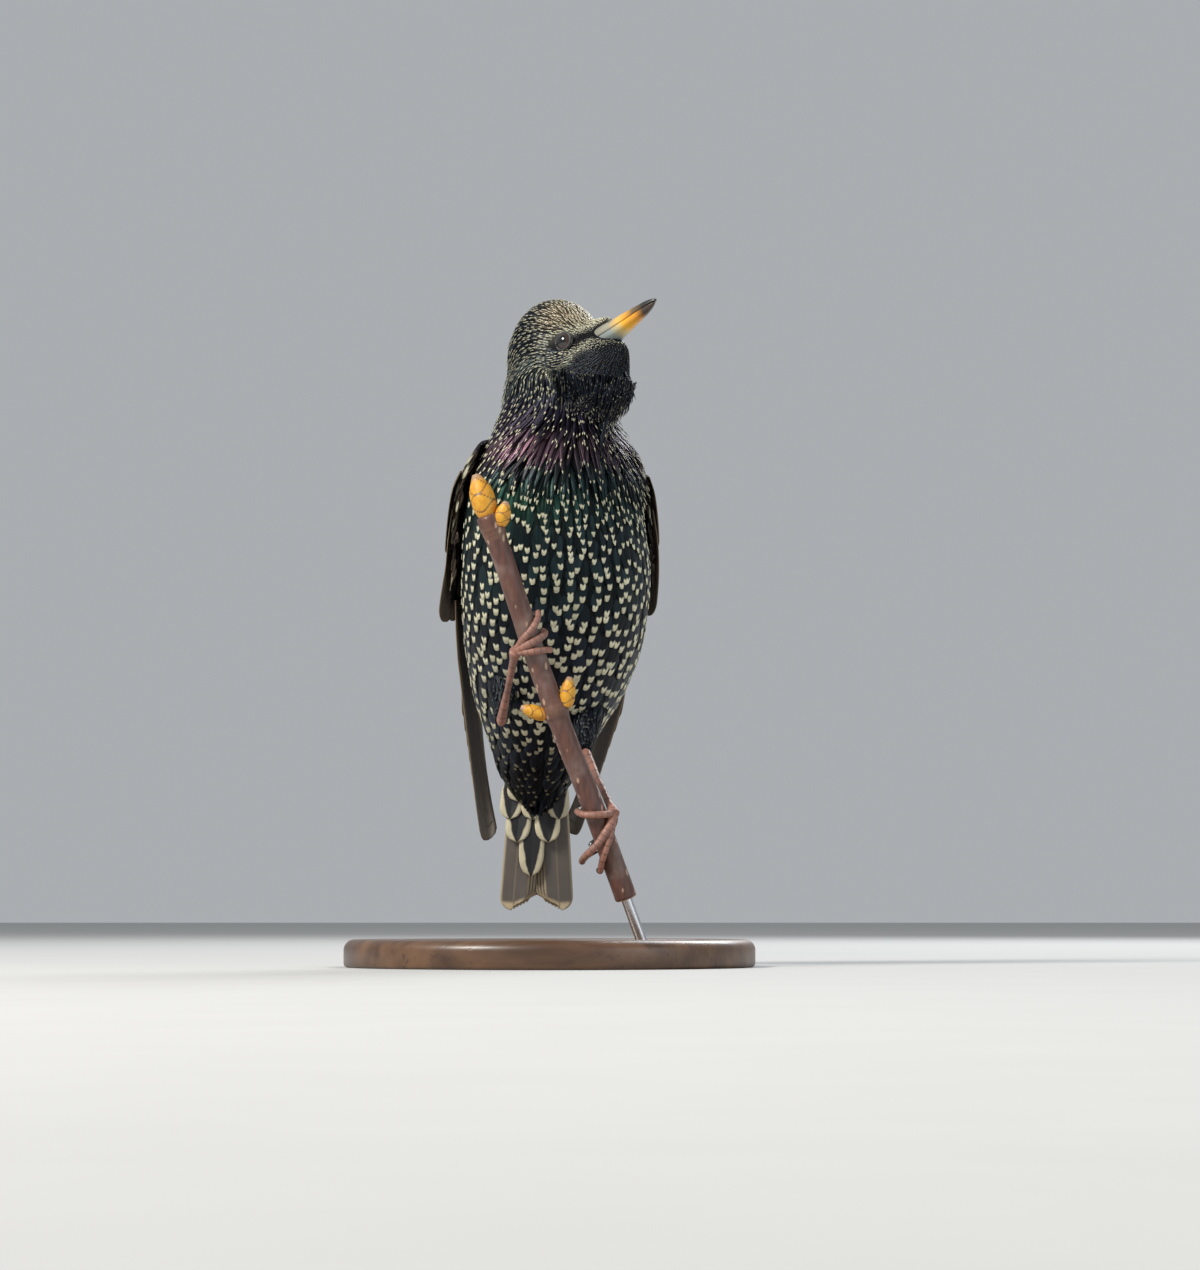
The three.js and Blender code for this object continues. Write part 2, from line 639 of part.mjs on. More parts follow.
// A point off the twig: t along it, the angle round it from +X towards -Y, and the distance out.
function twigPlace(t, angle, distance) {
  const axis = twigLine.getTangentAt(THREE.MathUtils.clamp(t, 0, 1));
  const right = vec(1, 0, 0).addScaledVector(axis, -axis.x).normalize();
  const ahead = new THREE.Vector3().crossVectors(axis, right).normalize();
  if (ahead.y > 0) ahead.negate();
  return twigLine
    .getPointAt(THREE.MathUtils.clamp(t, 0, 1))
    .addScaledVector(right, distance * Math.cos(angle))
    .addScaledVector(ahead, distance * Math.sin(angle));
}

const rodAxis = twigLine.getTangentAt(1);
const ROD_IN_TWIG = 8;
const rodTop = twigLine.getPointAt(1).addScaledVector(rodAxis, -ROD_IN_TWIG);
const rodFoot = rodTop.clone().addScaledVector(rodAxis, (rodTop.z - 2.6) / -rodAxis.z);

function rod(radius, reach) {
  const low = rodFoot.clone().addScaledVector(rodAxis, reach);
  const high = rodTop.clone().addScaledVector(rodAxis, -reach);
  return limb([high, high.clone().lerp(low, 0.5), low], () => radius, 3, 16);
}

const BUDS = [
  {
    name: "bud_terminal", at: 0, angle: 1.3, foot: 0,
    lean: [-0.28, -0.02, 0.96], length: 12.5, half: 3.3,
  },
  {
    name: "bud_terminal_side", at: 0.03, angle: 0.5, foot: 3.1,
    lean: [0.25, -0.2, 0.94], length: 7, half: 2,
  },
  {
    name: "bud_pair_right", at: 0.5, angle: 0.2, foot: 3.6,
    lean: [0.12, -0.1, 0.98], length: 8.6, half: 2,
  },
  {
    name: "bud_pair_left", at: 0.505, angle: 2.8, foot: 3.6,
    lean: [-0.93, -0.1, 0.32], length: 7.6, half: 1.8,
  },
];

function budSolid(bud, spare = 0) {
  const axis = vec(...bud.lean).normalize();
  const from = twigPlace(bud.at, bud.angle, bud.foot).addScaledVector(axis, -0.6 - spare);
  const radius = (q) => bud.half * Math.sin(Math.PI * Math.min(q * 0.78 + 0.16, 1)) ** 0.8 + 0.22 + spare;
  const to = from.clone().addScaledVector(axis, bud.length + 2 * spare);
  return limb([from, from.clone().lerp(to, 0.5), to], radius, 7, 9);
}

// Legs: each foot grips the twig at a place along it, from an angle round it.
const TOE_GAP = GAP + 0.05;
const LEGS = [
  {
    side: "right",
    knee: [-13, -2, 84], heel: [-14.0, -12.5, 70.6],
    grip: { t: 0.335, angle: 2.85 },
    toes: [
      { name: "inner", turn: -1, reach: 14, climb: 0.022, radius: 1.15, stand: 0 },
      { name: "middle", turn: -1, reach: 16.5, climb: -0.02, radius: 1.22, stand: 0 },
      { name: "outer", turn: -1, reach: 14, climb: -0.062, radius: 1.1, stand: 0 },
      { name: "hind", turn: 1, reach: 10, climb: -0.008, radius: 1.22, stand: 0 },
    ],
  },
  {
    side: "left",
    knee: [11, 5, 76], heel: [10.4, -8, 62.4],
    grip: { t: 0.79, angle: 0.25 },
    toes: [
      { name: "inner", turn: 1, reach: 13.5, climb: -0.03, radius: 1.15, stand: 0 },
      { name: "middle", turn: 1, reach: 18.5, climb: 0.075, radius: 1.22, stand: 3.6 },
      { name: "outer", turn: 1, reach: 12, climb: 0.105, radius: 1.1, stand: 0 },
      { name: "hind", turn: -1, reach: 11, climb: 0.05, radius: 1.22, stand: 1.2 },
    ],
  },
];
const TARSUS_RADIUS = { heel: 1.6, middle: 1.0, foot: 1.35 };
const CLAW = { reach: 6, radius: 0.85 };

// Points of a toe round the twig, from the grip to a share of its reach beyond 1 for the claw.
function toeLine(leg, toe, from, to, steps) {
  const points = [];
  for (let i = 0; i <= steps; i++) {
    const s = lerp(from, to, i / steps);
    const out = twigRadius(leg.grip.t) + TOE_GAP + toe.radius;
    const stand = toe.stand * Math.sin(Math.PI * THREE.MathUtils.clamp((s - 0.45) / 1.1, 0, 1)) ** 1.2;
    const turned = (toe.turn * toe.reach * s) / (out + 0.35 * toe.stand);
    const t = leg.grip.t + toe.climb * Math.min(s * 1.25, 1.15);
    points.push(twigPlace(t, leg.grip.angle + turned, out + stand));
  }
  return points;
}

function legSolids(leg) {
  const hub = twigPlace(leg.grip.t, leg.grip.angle, twigRadius(leg.grip.t) + TOE_GAP + 1.6);
  const heel = vec(...leg.heel);
  const knee = vec(...leg.knee);
  const along = hub.clone().sub(heel).normalize();
  const thighEnd = heel.clone().addScaledVector(heel.clone().sub(knee).normalize(), -1.0);
  const thighRadius = (q) => lerp(7.5, 2.0, q ** 0.8);
  const thigh = limb([knee, knee.clone().lerp(thighEnd, 0.5), thighEnd], thighRadius, 6, 14);
  const tarsusRadius = (q) =>
    q < 0.5
      ? lerp(TARSUS_RADIUS.heel, TARSUS_RADIUS.middle, Math.min(q / 0.25, 1))
      : lerp(TARSUS_RADIUS.middle, TARSUS_RADIUS.foot, Math.max((q - 0.75) / 0.25, 0));
  const ankle = hub.clone().addScaledVector(along, -2.4);
  const tarsus = limb([heel, heel.clone().lerp(ankle, 0.5), ankle], tarsusRadius, 8, 10);
  const palm = ellipsoid(hub, [vec(1, 0, 0), vec(0, 1, 0), vec(0, 0, 1)], [1.7, 1.7, 1.9], 10);
  const toes = leg.toes.map((toe) =>
    limb(toeLine(leg, toe, 0, 1, 10), (q) => toe.radius * (1 - 0.22 * q), 7, 6),
  );
  const claw = (toe, spare) =>
    limb(
      toeLine(leg, toe, 0.97 - spare / toe.reach, 1 + (CLAW.reach + spare) / toe.reach, 5),
      (q) => lerp(CLAW.radius, 0.2, q) + spare,
      4,
      6,
    );
  const claws = leg.toes.map((toe) => ({ name: `claw_${leg.side}_${toe.name}`, solid: claw(toe, 0) }));
  const foot = join(palm, ...toes).subtract(join(leg.toes.map((toe) => claw(toe, GAP + 0.1))));
  return { thigh, tarsus, foot, claws, heel, ankle, along };
}

// Stand.
function baseSolid() {
  const chamfer = 1.2;
  const profile = [
    [0, 0], [BASE_RADIUS - 0.8, 0], [BASE_RADIUS, 0.8], [BASE_RADIUS, BASE_HEIGHT - 3.2],
    [BASE_RADIUS - 1.0, BASE_HEIGHT - 1.4], [BASE_RADIUS - 3.0, BASE_HEIGHT - chamfer * 0.3],
    [BASE_RADIUS - 5.0, BASE_HEIGHT], [0, BASE_HEIGHT],
  ].map(([r, z]) => new THREE.Vector2(r, z));
  return solidOf(new THREE.LatheGeometry(profile, 40).rotateX(Math.PI / 2));
}

// Everything is put together, cut clear of its neighbours, and named.
const bird = new THREE.Group();
bird.name = "starling";

function add(name, made, colour, roughness, metalness = 0) {
  const material = new THREE.MeshStandardMaterial({ color: colour, roughness, metalness });
  const mesh = new THREE.Mesh(geometryOf(made), material);
  mesh.name = name;
  bird.add(mesh);
}

const PLUMAGE = "#12181a";
const WING_BROWN = "#3a3029";
const LEG_PINK = "#a8604a";
const CLAW_BLACK = "#15120f";
const BARK = "#7a4a38";
const BUD_YELLOW = "#c8932a";

add("stand_base", baseSolid().subtract(rod(ROD_RADIUS + GAP, GAP)), "#4a3323", 0.5);
add("stand_rod", rod(ROD_RADIUS, 0), "#b9bcc0", 0.3, 1);

const twigWhole = limb(TWIG_POINTS.map((p) => vec(...p)), twigRadius, 24, 10);
const buds = BUDS.map((bud) => ({ ...bud, solid: budSolid(bud) }));
const budsCleared = BUDS.map((bud) => budSolid(bud, GAP + 0.05));
add("perch_twig", twigWhole.subtract(rod(ROD_RADIUS + GAP, GAP)).subtract(join(budsCleared)), BARK, 0.7);
buds.forEach((bud, i) => {
  const earlier = budsCleared.slice(0, i);
  add(bud.name, earlier.length ? bud.solid.subtract(join(earlier)) : bud.solid, BUD_YELLOW, 0.5);
});

const headUp = [HEAD_UP.x, HEAD_UP.y, HEAD_UP.z];
const neckHeight = headPlace(0, NECK_CUT_UP).dot(HEAD_UP);
const torsoUp = vec(0, -TORSO_CUT_LEAN, 1).normalize();
const torsoHeight = vec(1, -8, TORSO_CUT_HEIGHT).dot(torsoUp);
const flip = (normal) => normal.map((x) => -x);
const torsoNormal = torsoUp.toArray();

const sockets = join(eyeSocket(1), eyeSocket(-1));
const head = join(bodyWhole.trimByPlane(headUp, neckHeight + GAP / 2), lids(1), lids(-1))
  .subtract(sockets)
  .subtract(join(gapeGroove(1), gapeGroove(-1)));
const neck = join(
  bodyWhole.trimByPlane(torsoNormal, torsoHeight + GAP / 2),
  ...hacklesOn(),
).trimByPlane(flip(headUp), -(neckHeight - GAP / 2));
const torso = bodyWhole.trimByPlane(flip(torsoNormal), -(torsoHeight - GAP / 2));
const torsoCleared = bodyCleared;
const neckClear = bodyCleared.trimByPlane(flip(torsoNormal), -(torsoHeight + GAP / 2));
const bill = billSolids();
add("head", head, PLUMAGE, 0.45);
add("bill_upper", bill.upper, "#9a6a28", 0.35);
add("bill_lower", bill.lower, "#c8973a", 0.35);
for (const [name, side] of [["eye_right", 1], ["eye_left", -1]]) {
  const centre = headPlace(EYE_PLACE.forward, EYE_PLACE.up, side * EYE_PLACE.side);
  const ball = ellipsoid(centre, [FORWARD, HEAD_UP, HEAD_RIGHT], Array(3).fill(EYE_RADIUS), 14);
  add(name, ball, "#1a0f0a", 0.05);
}
add("neck", neck.subtract(neckClear), PLUMAGE, 0.4);

const legs = LEGS.map(legSolids);
const wings = WINGS.map((wing) => wingSolid(wing));
const undertail = undertailSolid();
add("torso", torso, PLUMAGE, 0.4);
wings.forEach((made, i) => add(WINGS[i].name, made, WING_BROWN, 0.5));
add("tail", tailSolid().subtract(torsoCleared), "#5a5148", 0.55);
add("undertail_coverts", undertail.subtract(torsoCleared), PLUMAGE, 0.5);

legs.forEach((leg, i) => {
  const side = LEGS[i].side;
  const round = (radius, from, to) => limb([from, from.clone().lerp(to, 0.5), to], () => radius, 2, 12);
  const tarsusCleared = round(
    TARSUS_RADIUS.heel + GAP,
    leg.heel.clone().addScaledVector(leg.along, -GAP),
    leg.heel.clone().addScaledVector(leg.along, 6),
  );
  const ankleCleared = round(
    2.4,
    leg.ankle.clone().addScaledVector(leg.along, -3),
    leg.ankle.clone().addScaledVector(leg.along, GAP),
  );
  add(`thigh_${side}`, leg.thigh.subtract(torsoCleared).subtract(tarsusCleared), PLUMAGE, 0.6);
  add(`tarsus_${side}`, leg.tarsus, LEG_PINK, 0.5);
  add(`foot_${side}`, leg.foot.subtract(ankleCleared), LEG_PINK, 0.5);
  leg.claws.forEach((claw) => add(claw.name, claw.solid, CLAW_BLACK, 0.35));
});

export default bird;
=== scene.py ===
"""A life-size starling in spotted early-spring plumage, perched upright on a cut length of twig,
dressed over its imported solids. Lengths are worked out in millimetres and built in metres."""

import bpy
import numpy as np
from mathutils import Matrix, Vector


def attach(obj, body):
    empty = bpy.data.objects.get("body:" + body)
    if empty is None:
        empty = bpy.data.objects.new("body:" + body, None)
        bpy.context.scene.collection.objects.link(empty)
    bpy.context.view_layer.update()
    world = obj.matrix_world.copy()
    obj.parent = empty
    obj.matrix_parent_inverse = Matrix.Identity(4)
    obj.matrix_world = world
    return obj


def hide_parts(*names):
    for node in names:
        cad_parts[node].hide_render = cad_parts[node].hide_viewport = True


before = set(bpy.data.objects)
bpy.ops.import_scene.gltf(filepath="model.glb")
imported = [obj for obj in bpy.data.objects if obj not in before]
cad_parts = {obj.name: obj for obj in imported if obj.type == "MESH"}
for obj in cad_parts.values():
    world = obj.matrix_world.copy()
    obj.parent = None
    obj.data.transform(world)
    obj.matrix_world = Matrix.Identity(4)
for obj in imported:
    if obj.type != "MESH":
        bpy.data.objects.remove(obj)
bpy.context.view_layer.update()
chance = np.random.default_rng(5)


# The display base: a disc of dark turned hardwood with an eased rim, standing flat on the shelf.
# It is turned from a board, so its grain runs straight across, and it has a satin varnish.
BASE_RADIUS, BASE_HEIGHT = 60.0, 8.0
WALNUT_DARK, WALNUT_PALE = (0.050, 0.022, 0.011), (0.155, 0.078, 0.037)


class Reading:
    """A value that varies over a surface. Arithmetic on it adds Math nodes to its finish."""

    def __init__(self, finish, socket):
        self.finish, self.socket = finish, socket

    def math(self, operation, *others):
        return self.finish.node("Math", {"operation": operation}, dict(enumerate((self, *others))))

    def __add__(self, other):
        return self.math("ADD", other)

    def __sub__(self, other):
        return self.math("SUBTRACT", other)

    def __mul__(self, other):
        return self.math("MULTIPLY", other)

    def __truediv__(self, other):
        return self.math("DIVIDE", other)

    def __rsub__(self, other):
        return self * -1 + other

    def __abs__(self):
        return self.math("ABSOLUTE")

    __radd__, __rmul__ = __add__, __mul__

    def wave(self):
        """The sine of as many whole turns."""
        return (self * 6.28).math("SINE")

    def rise(self, low, high):
        """0 at low, 1 at high, and smooth between; low may be the greater of the two."""
        limits = {"Value": self, "From Min": low, "From Max": high}
        return self.finish.node("MapRange", {"interpolation_type": "SMOOTHSTEP"}, limits)


class Finish:
    """One material, built node by node round a Principled shader. Keywords set its plain sockets."""

    def __init__(self, name, **plain):
        self.material = bpy.data.materials.new(name)
        self.material.use_nodes = True
        self.tree = self.material.node_tree
        self.shader = self.tree.nodes["Principled BSDF"]
        for key, value in plain.items():
            self.shader.inputs[key.replace("_", " ")].default_value = value

    def node(self, kind, settings, sockets, output=0):
        """A new node: its settings first, a ramp's stops among them, then its sockets' values or links."""
        made = self.tree.nodes.new("ShaderNode" + kind)
        for key, value in settings.items():
            if key == "stops":
                for _ in range(len(value) - 2):
                    made.color_ramp.elements.new(0.5)
                for stop, (place, colour) in zip(made.color_ramp.elements, value):
                    stop.position, stop.color = place, (*colour, 1)
            else:
                setattr(made, key, value)
        for key, value in sockets.items():
            if isinstance(value, Reading):
                self.tree.links.new(value.socket, made.inputs[key])
            else:
                made.inputs[key].default_value = value
        return Reading(self, made.outputs[output])

    def place(self, *stretch):
        """The object's own coordinates, in metres, stretched along X, Y and Z."""
        here = self.node("TexCoord", {}, {}, "Object")
        return self.node("Mapping", {}, {"Vector": here, "Scale": stretch}) if stretch else here

    def noise(self, place, scale, detail=3.0):
        return self.node("TexNoise", {}, {"Vector": place, "Scale": scale, "Detail": detail})

    def colour(self, name):
        """A colour that the mesh carries point by point."""
        return self.node("Attribute", {"attribute_name": name}, {}, "Color")

    def painted(self, name):
        """The three parts of such a colour."""
        colour = self.colour(name)
        return [self.node("SeparateColor", {}, {0: colour}, part) for part in range(3)]

    def mix(self, mask, first, second):
        """The first colour where the mask is 0, the second where it is 1."""
        pair = [c if isinstance(c, Reading) else (*c, 1) for c in (first, second)]
        return self.node("Mix", {"data_type": "RGBA"}, {0: mask, 6: pair[0], 7: pair[1]}, 2)

    def wear(self, **looks):
        """Feeds the shader's sockets, and height, in millimetres, to a Bump node on its normal."""
        for key, value in looks.items():
            if key == "height":
                bump = {"Height": value, "Distance": 0.001, "Strength": 1.0}
                key, value = "Normal", self.node("Bump", {}, bump)
            self.tree.links.new(value.socket, self.shader.inputs[key.replace("_", " ")])


def grid_faces(rows, columns, around=False):
    """Quads of a grid of points stored row by row; around joins the last column to the first."""
    i, j = np.mgrid[0 : rows - 1, 0 : columns - (not around)]
    a, b = i * columns + j, i * columns + (j + 1) % columns
    return np.stack([a, b, b + columns, a + columns], -1).reshape(-1, 4)


def ring_faces(rows, columns):
    """A stack of rings, and a fan at each end to one more point: the last two points of the mesh."""
    j = np.arange(columns)
    k, last = (j + 1) % columns, (rows - 1) * columns
    hub = np.full(columns, rows * columns)
    fans = np.concatenate([np.stack([hub, k, j], 1), np.stack([hub + 1, last + j, last + k], 1)])
    return [grid_faces(rows, columns, True), fans]


def with_ends(rings):
    """The points, or the values, of a stack of rings, followed by the mean of each end ring."""
    flat = rings.reshape(rings.shape[0] * rings.shape[1], -1)
    return np.concatenate([flat, [rings[0].reshape(rings.shape[1], -1).mean(0)],
                           [rings[-1].reshape(rings.shape[1], -1).mean(0)]])


def build(name, points, faces, finish, replaces=(), colours=None, bake_map=None):
    """A mesh at the origin, riding on the root, from points in millimetres and arrays of faces."""
    corners = [f[:, [0, k, k + 1]] for f in faces for k in range(1, f.shape[1] - 1)]
    a, b, c = (points[np.concatenate(corners)[:, k]] for k in range(3))
    if np.einsum("ij,ij->", a, np.cross(b, c)) < 0:
        faces = [f[:, ::-1] for f in faces]
    loops = np.concatenate([f.ravel() for f in faces])
    sizes = np.concatenate([np.full(len(f), f.shape[1]) for f in faces])
    mesh = bpy.data.meshes.new(name)
    mesh.vertices.add(len(points))
    mesh.vertices.foreach_set("co", (points * 0.001).ravel())
    mesh.loops.add(len(loops))
    mesh.loops.foreach_set("vertex_index", loops)
    mesh.polygons.add(len(sizes))
    mesh.polygons.foreach_set("loop_start", np.cumsum(sizes) - sizes)
    mesh.update(calc_edges=True)
    mesh.polygons.foreach_set("use_smooth", np.full(len(sizes), True))
    for key, value in (colours or {}).items():
        layer = mesh.attributes.new(key, "FLOAT_COLOR", "POINT")
        layer.data.foreach_set("color", np.column_stack([value, np.ones(len(points))]).ravel())
    if bake_map is not None:
        layer = mesh.uv_layers.new(name="OFBake")
        layer.data.foreach_set("uv", bake_map[loops].ravel())
    mesh.validate()
    piece = bpy.data.objects.new(name, mesh)
    bpy.context.collection.objects.link(piece)
    mesh.materials.append(finish.material)
    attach(piece, "root")
    if replaces:
        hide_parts(*replaces)


def build_rings(name, rings, finish, replaces=(), paint=None):
    """The closed mesh of a stack of rings. The paint's values stand on the same stack."""
    colours = {key: with_ends(value) for key, value in (paint or {}).items()}
    build(name, with_ends(rings), ring_faces(*rings.shape[:2]), finish, replaces, colours)


def turns(many):
    """Angles spread evenly round a whole turn."""
    return np.linspace(0, 2 * np.pi, many, endpoint=False)


def layers(*parts):
    """Arrays that spread to one shape, stacked as the three parts of points or of colours."""
    return np.stack(np.broadcast_arrays(*parts), -1)


def turned(profile, sides=144):
    """Rings of a profile of radius and height: radius times cosine and sine of the turn, and height."""
    radius, height = np.array(profile).T[:, :, None]
    return layers(radius * np.cos(turns(sides)), radius * np.sin(turns(sides)), height)


walnut = Finish("walnut", Coat_Weight=0.25, Coat_Roughness=0.25)
grain = walnut.noise(walnut.place(9, 90, 60), 1.6, 6)
pores = walnut.noise(walnut.place(60, 900, 400), 1.0, 2).rise(0.58, 0.72)
grained = walnut.mix(grain.rise(0.3, 0.72), WALNUT_DARK, WALNUT_PALE)
walnut.wear(
    Base_Color=walnut.mix(pores * 0.6, grained, WALNUT_DARK),
    Roughness=grain * 0.15 + 0.34,
    height=pores * -0.04 + grain * 0.03,
)
ease = np.linspace(0, np.pi / 2, 9)
base_profile = (
    [(0.5, 0.0), (30, 0.0), (BASE_RADIUS - 1.0, 0.0), (BASE_RADIUS - 0.3, 0.3), (BASE_RADIUS, 1.0)]
    + [(BASE_RADIUS - 3 + 3 * np.cos(t), BASE_HEIGHT - 3 + 3 * np.sin(t)) for t in ease]
    + [(44, BASE_HEIGHT), (43.6, BASE_HEIGHT - 0.35), (43.0, BASE_HEIGHT - 0.35), (42.6, BASE_HEIGHT)]
    + [(0.5, BASE_HEIGHT)]
)
build_rings("display_base", turned(base_profile), walnut, ["stand_base"])


# The perch: a cut length of young twig, red-brown and smooth, with pale pores, and a ringed node
# where two buds sit opposite each other. A steel rod in its lower cut end holds it.
TWIG_POINTS = np.array([
    [-17.0, -44.5, 127.5], [-13.2, -43, 117], [-8.7, -41, 103.7], [-4.2, -38.5, 89.8], [0.9, -36, 75.8],
    [6.3, -33.7, 61.7], [12.0, -31, 47.6], [17.2, -28.2, 33.5], [22.2, -25.4, 19.8],
])
TWIG_RADIUS = 3.15
ROD_RADIUS = 1.6
STEEL_DARK, STEEL_BRIGHT = (0.50, 0.51, 0.53), (0.66, 0.67, 0.69)
BARK_RED, BARK_BROWN, BARK_GREY = (0.118, 0.050, 0.036), (0.062, 0.030, 0.024), (0.215, 0.150, 0.128)
BARK_SCAR, PORE_BUFF, CUT_WOOD = (0.17, 0.085, 0.045), (0.46, 0.31, 0.22), (0.52, 0.38, 0.22)
WRINKLES = (0.035, 0.047, 0.058, 0.492, 0.503, 0.514)


def smooth_line(points, fine=40):
    """A centripetal Catmull-Rom curve through the points: its dense points and the share of each."""
    p = np.vstack([2 * points[0] - points[1], points, 2 * points[-1] - points[-2]])
    gap = np.maximum(np.linalg.norm(np.diff(p, axis=0), axis=1) ** 0.5, 1e-4)[:, None, None]
    x0, x1, x2, x3 = (p[k : len(p) - 3 + k, None, :] for k in range(4))
    g0, g1, g2 = gap[:-2], gap[1:-1], gap[2:]
    leave = ((x1 - x0) / g0 - (x2 - x0) / (g0 + g1) + (x2 - x1) / g1) * g1
    arrive = ((x2 - x1) / g1 - (x3 - x1) / (g1 + g2) + (x3 - x2) / g2) * g1
    t = np.linspace(0, 1, fine, endpoint=False)[None, :, None]
    curve = (x1 + leave * t + (3 * (x2 - x1) - 2 * leave - arrive) * t**2
             + (2 * (x1 - x2) + leave + arrive) * t**3)
    curve = np.vstack([curve.reshape(-1, 3), points[-1]])
    return curve, np.linspace(0, 1, len(curve))


def on_line(curve, share, wanted):
    """Points of a dense curve at the wanted shares."""
    return np.stack([np.interp(wanted, share, curve[:, k]) for k in range(3)], -1)


def even(curve):
    """The share of a dense curve's length that each of its points has reached."""
    run = np.concatenate([[0], np.cumsum(np.linalg.norm(np.diff(curve, axis=0), axis=1))])
    return run / run[-1]


def unit(v):
    """The vectors at length one."""
    return v / np.maximum(np.linalg.norm(v, axis=-1, keepdims=True), 1e-9)


def tube(curve, share, wanted, radius, sides, squash=None):
    """Rings round a curve: its point, plus radius times the turn's cosine sideways and sine ahead."""
    centre = on_line(curve, share, wanted)
    onward, behind = (on_line(curve, share, np.clip(wanted + d, 0, 1)) for d in (0.01, -0.01))
    axis = unit(onward - behind)
    level = np.array([1.0, 0, 0]) if abs(axis[:, 0]).max() < 0.9 else np.array([0, 0, 1.0])
    side = unit(level - axis * (axis @ level)[:, None])
    ahead = np.cross(axis, side)
    turn = turns(sides)
    across, deep = squash or (1, 1)
    return (centre[:, None] + radius[..., None] * (np.cos(turn)[:, None] * across * side[:, None]
                                                   + np.sin(turn)[:, None] * deep * ahead[:, None]))


def bump_at(x, centre, width):
    """1 at the centre, falling on both sides as e to minus the square of the distance over the width."""
    return np.exp(-(((x - centre) / width) ** 2))


twig_curve, _ = smooth_line(TWIG_POINTS)
twig_share = even(twig_curve)


def twig_radius(t):
    """The twig's radius: a little less at the top, more at the end bud and at the node."""
    return TWIG_RADIUS + 0.5 * bump_at(t, 0.02, 0.03) + 0.75 * bump_at(t, 0.505, 0.02) - 0.15 * (1 - t)


def twig_place(t, angle, distance):
    """A point off the twig: its share of the length, the angle from +X towards -Y, the distance out."""
    t, angle, distance = np.broadcast_arrays(*(np.asarray(v, float) for v in (t, angle, distance)))
    low, high = (on_line(twig_curve, twig_share, np.clip(t + d, 0, 1)) for d in (-0.005, 0.005))
    axis = unit(high - low)
    right = unit(np.array([1.0, 0, 0]) - axis * axis[..., :1])
    ahead = unit(np.cross(axis, right))
    ahead = np.where(ahead[..., 1:2] > 0, -ahead, ahead)
    centre = on_line(twig_curve, twig_share, np.clip(t, 0, 1))
    spoke = np.cos(angle)[..., None] * right + np.sin(angle)[..., None] * ahead
    return centre + distance[..., None] * spoke


bark = Finish("bark", Specular_IOR_Level=0.45)
patch = bark.noise(bark.place(), 90, 4)
streak = bark.noise(bark.place(900, 900, 60), 1.0, 3)
tall = bark.place(1, 1, 0.45)
pore = bark.node("TexVoronoi", {"feature": "F1"}, {"Vector": tall, "Scale": 420.0}).rise(0.26, 0.14)
ringed, _, cut_end = bark.painted("bark_marks")
brown = bark.mix(streak.rise(0.35, 0.65) * 0.7, BARK_RED, BARK_BROWN)
weathered = bark.mix(patch.rise(0.45, 0.66) * 0.7, brown, BARK_GREY)
scarred = bark.mix(ringed * 0.55, weathered, BARK_SCAR)
bark.wear(
    Base_Color=bark.mix(cut_end, bark.mix(pore * 0.8, scarred, PORE_BUFF), CUT_WOOD),
    Roughness=patch * 0.25 + 0.36,
    height=pore * 0.07 + streak * 0.05 + patch * 0.10 + ringed * -0.05,
)
t = np.concatenate([[0.0005], np.linspace(0.004, 0.996, 230), [0.9995]])
turn = turns(40)
wrinkle = sum(bump_at(t, place, 0.0035) for place in WRINKLES)
knobbly = 0.05 * np.sin(9 * turn[None] + 40 * t[:, None]) * np.sin(23 * t[:, None])
girth = (twig_radius(t) + 0.16 * wrinkle)[:, None] + knobbly
girth[0] *= 0.82
girth[-1] *= 0.93
stem = tube(twig_curve, twig_share, t, girth, 40)
marks = layers(wrinkle[:, None], 0 * girth, (t > 0.999)[:, None])
build_rings("twig", stem, bark, ["perch_twig"], {"bark_marks": marks})

steel = Finish("drawn_steel", Metallic=1.0)
draw = steel.noise(steel.place(2600, 2600, 30), 1.0, 2)
steel.wear(Base_Color=steel.mix(draw, STEEL_DARK, STEEL_BRIGHT), Roughness=draw * 0.16 + 0.2)
twig_end, twig_end_axis = twig_curve[-1], unit(twig_curve[-1] - twig_curve[-4])
rod_run = (twig_end[2] - 2.7) / -twig_end_axis[2]
rod_line = twig_end + np.linspace(-7.5, rod_run, 12)[:, None] * twig_end_axis
rod = tube(rod_line, even(rod_line), np.linspace(0, 1, 12), np.full((12, 1), ROD_RADIUS), 36)
build_rings("steel_rod", rod, steel, ["stand_rod"])


# The buds: pointed, wrapped in pairs of yellow scales with brown margins, greyed at the tip by frost.
# Each grows from its scar on the twig; the biggest closes the twig's end.
BUDS = [  # node, place on the twig: along, round and out, which way it leans, length, half width
    ("bud_terminal", 0.0, 1.3, 0.0, (-0.28, -0.02, 0.96), 12.5, 3.3),
    ("bud_terminal_side", 0.03, 0.5, 3.1, (0.25, -0.2, 0.94), 7.0, 2.0),
    ("bud_pair_right", 0.5, 0.2, 3.6, (0.12, -0.1, 0.98), 8.6, 2.0),
    ("bud_pair_left", 0.505, 2.8, 3.6, (-0.93, -0.1, 0.32), 7.6, 1.8),
]
BUD_YELLOW, BUD_ORANGE, BUD_TIP = (0.66, 0.34, 0.022), (0.50, 0.165, 0.012), (0.34, 0.22, 0.16)
BUD_MARGIN, BUD_ROWS, BUD_SIDES = (0.11, 0.045, 0.018), 46, 28

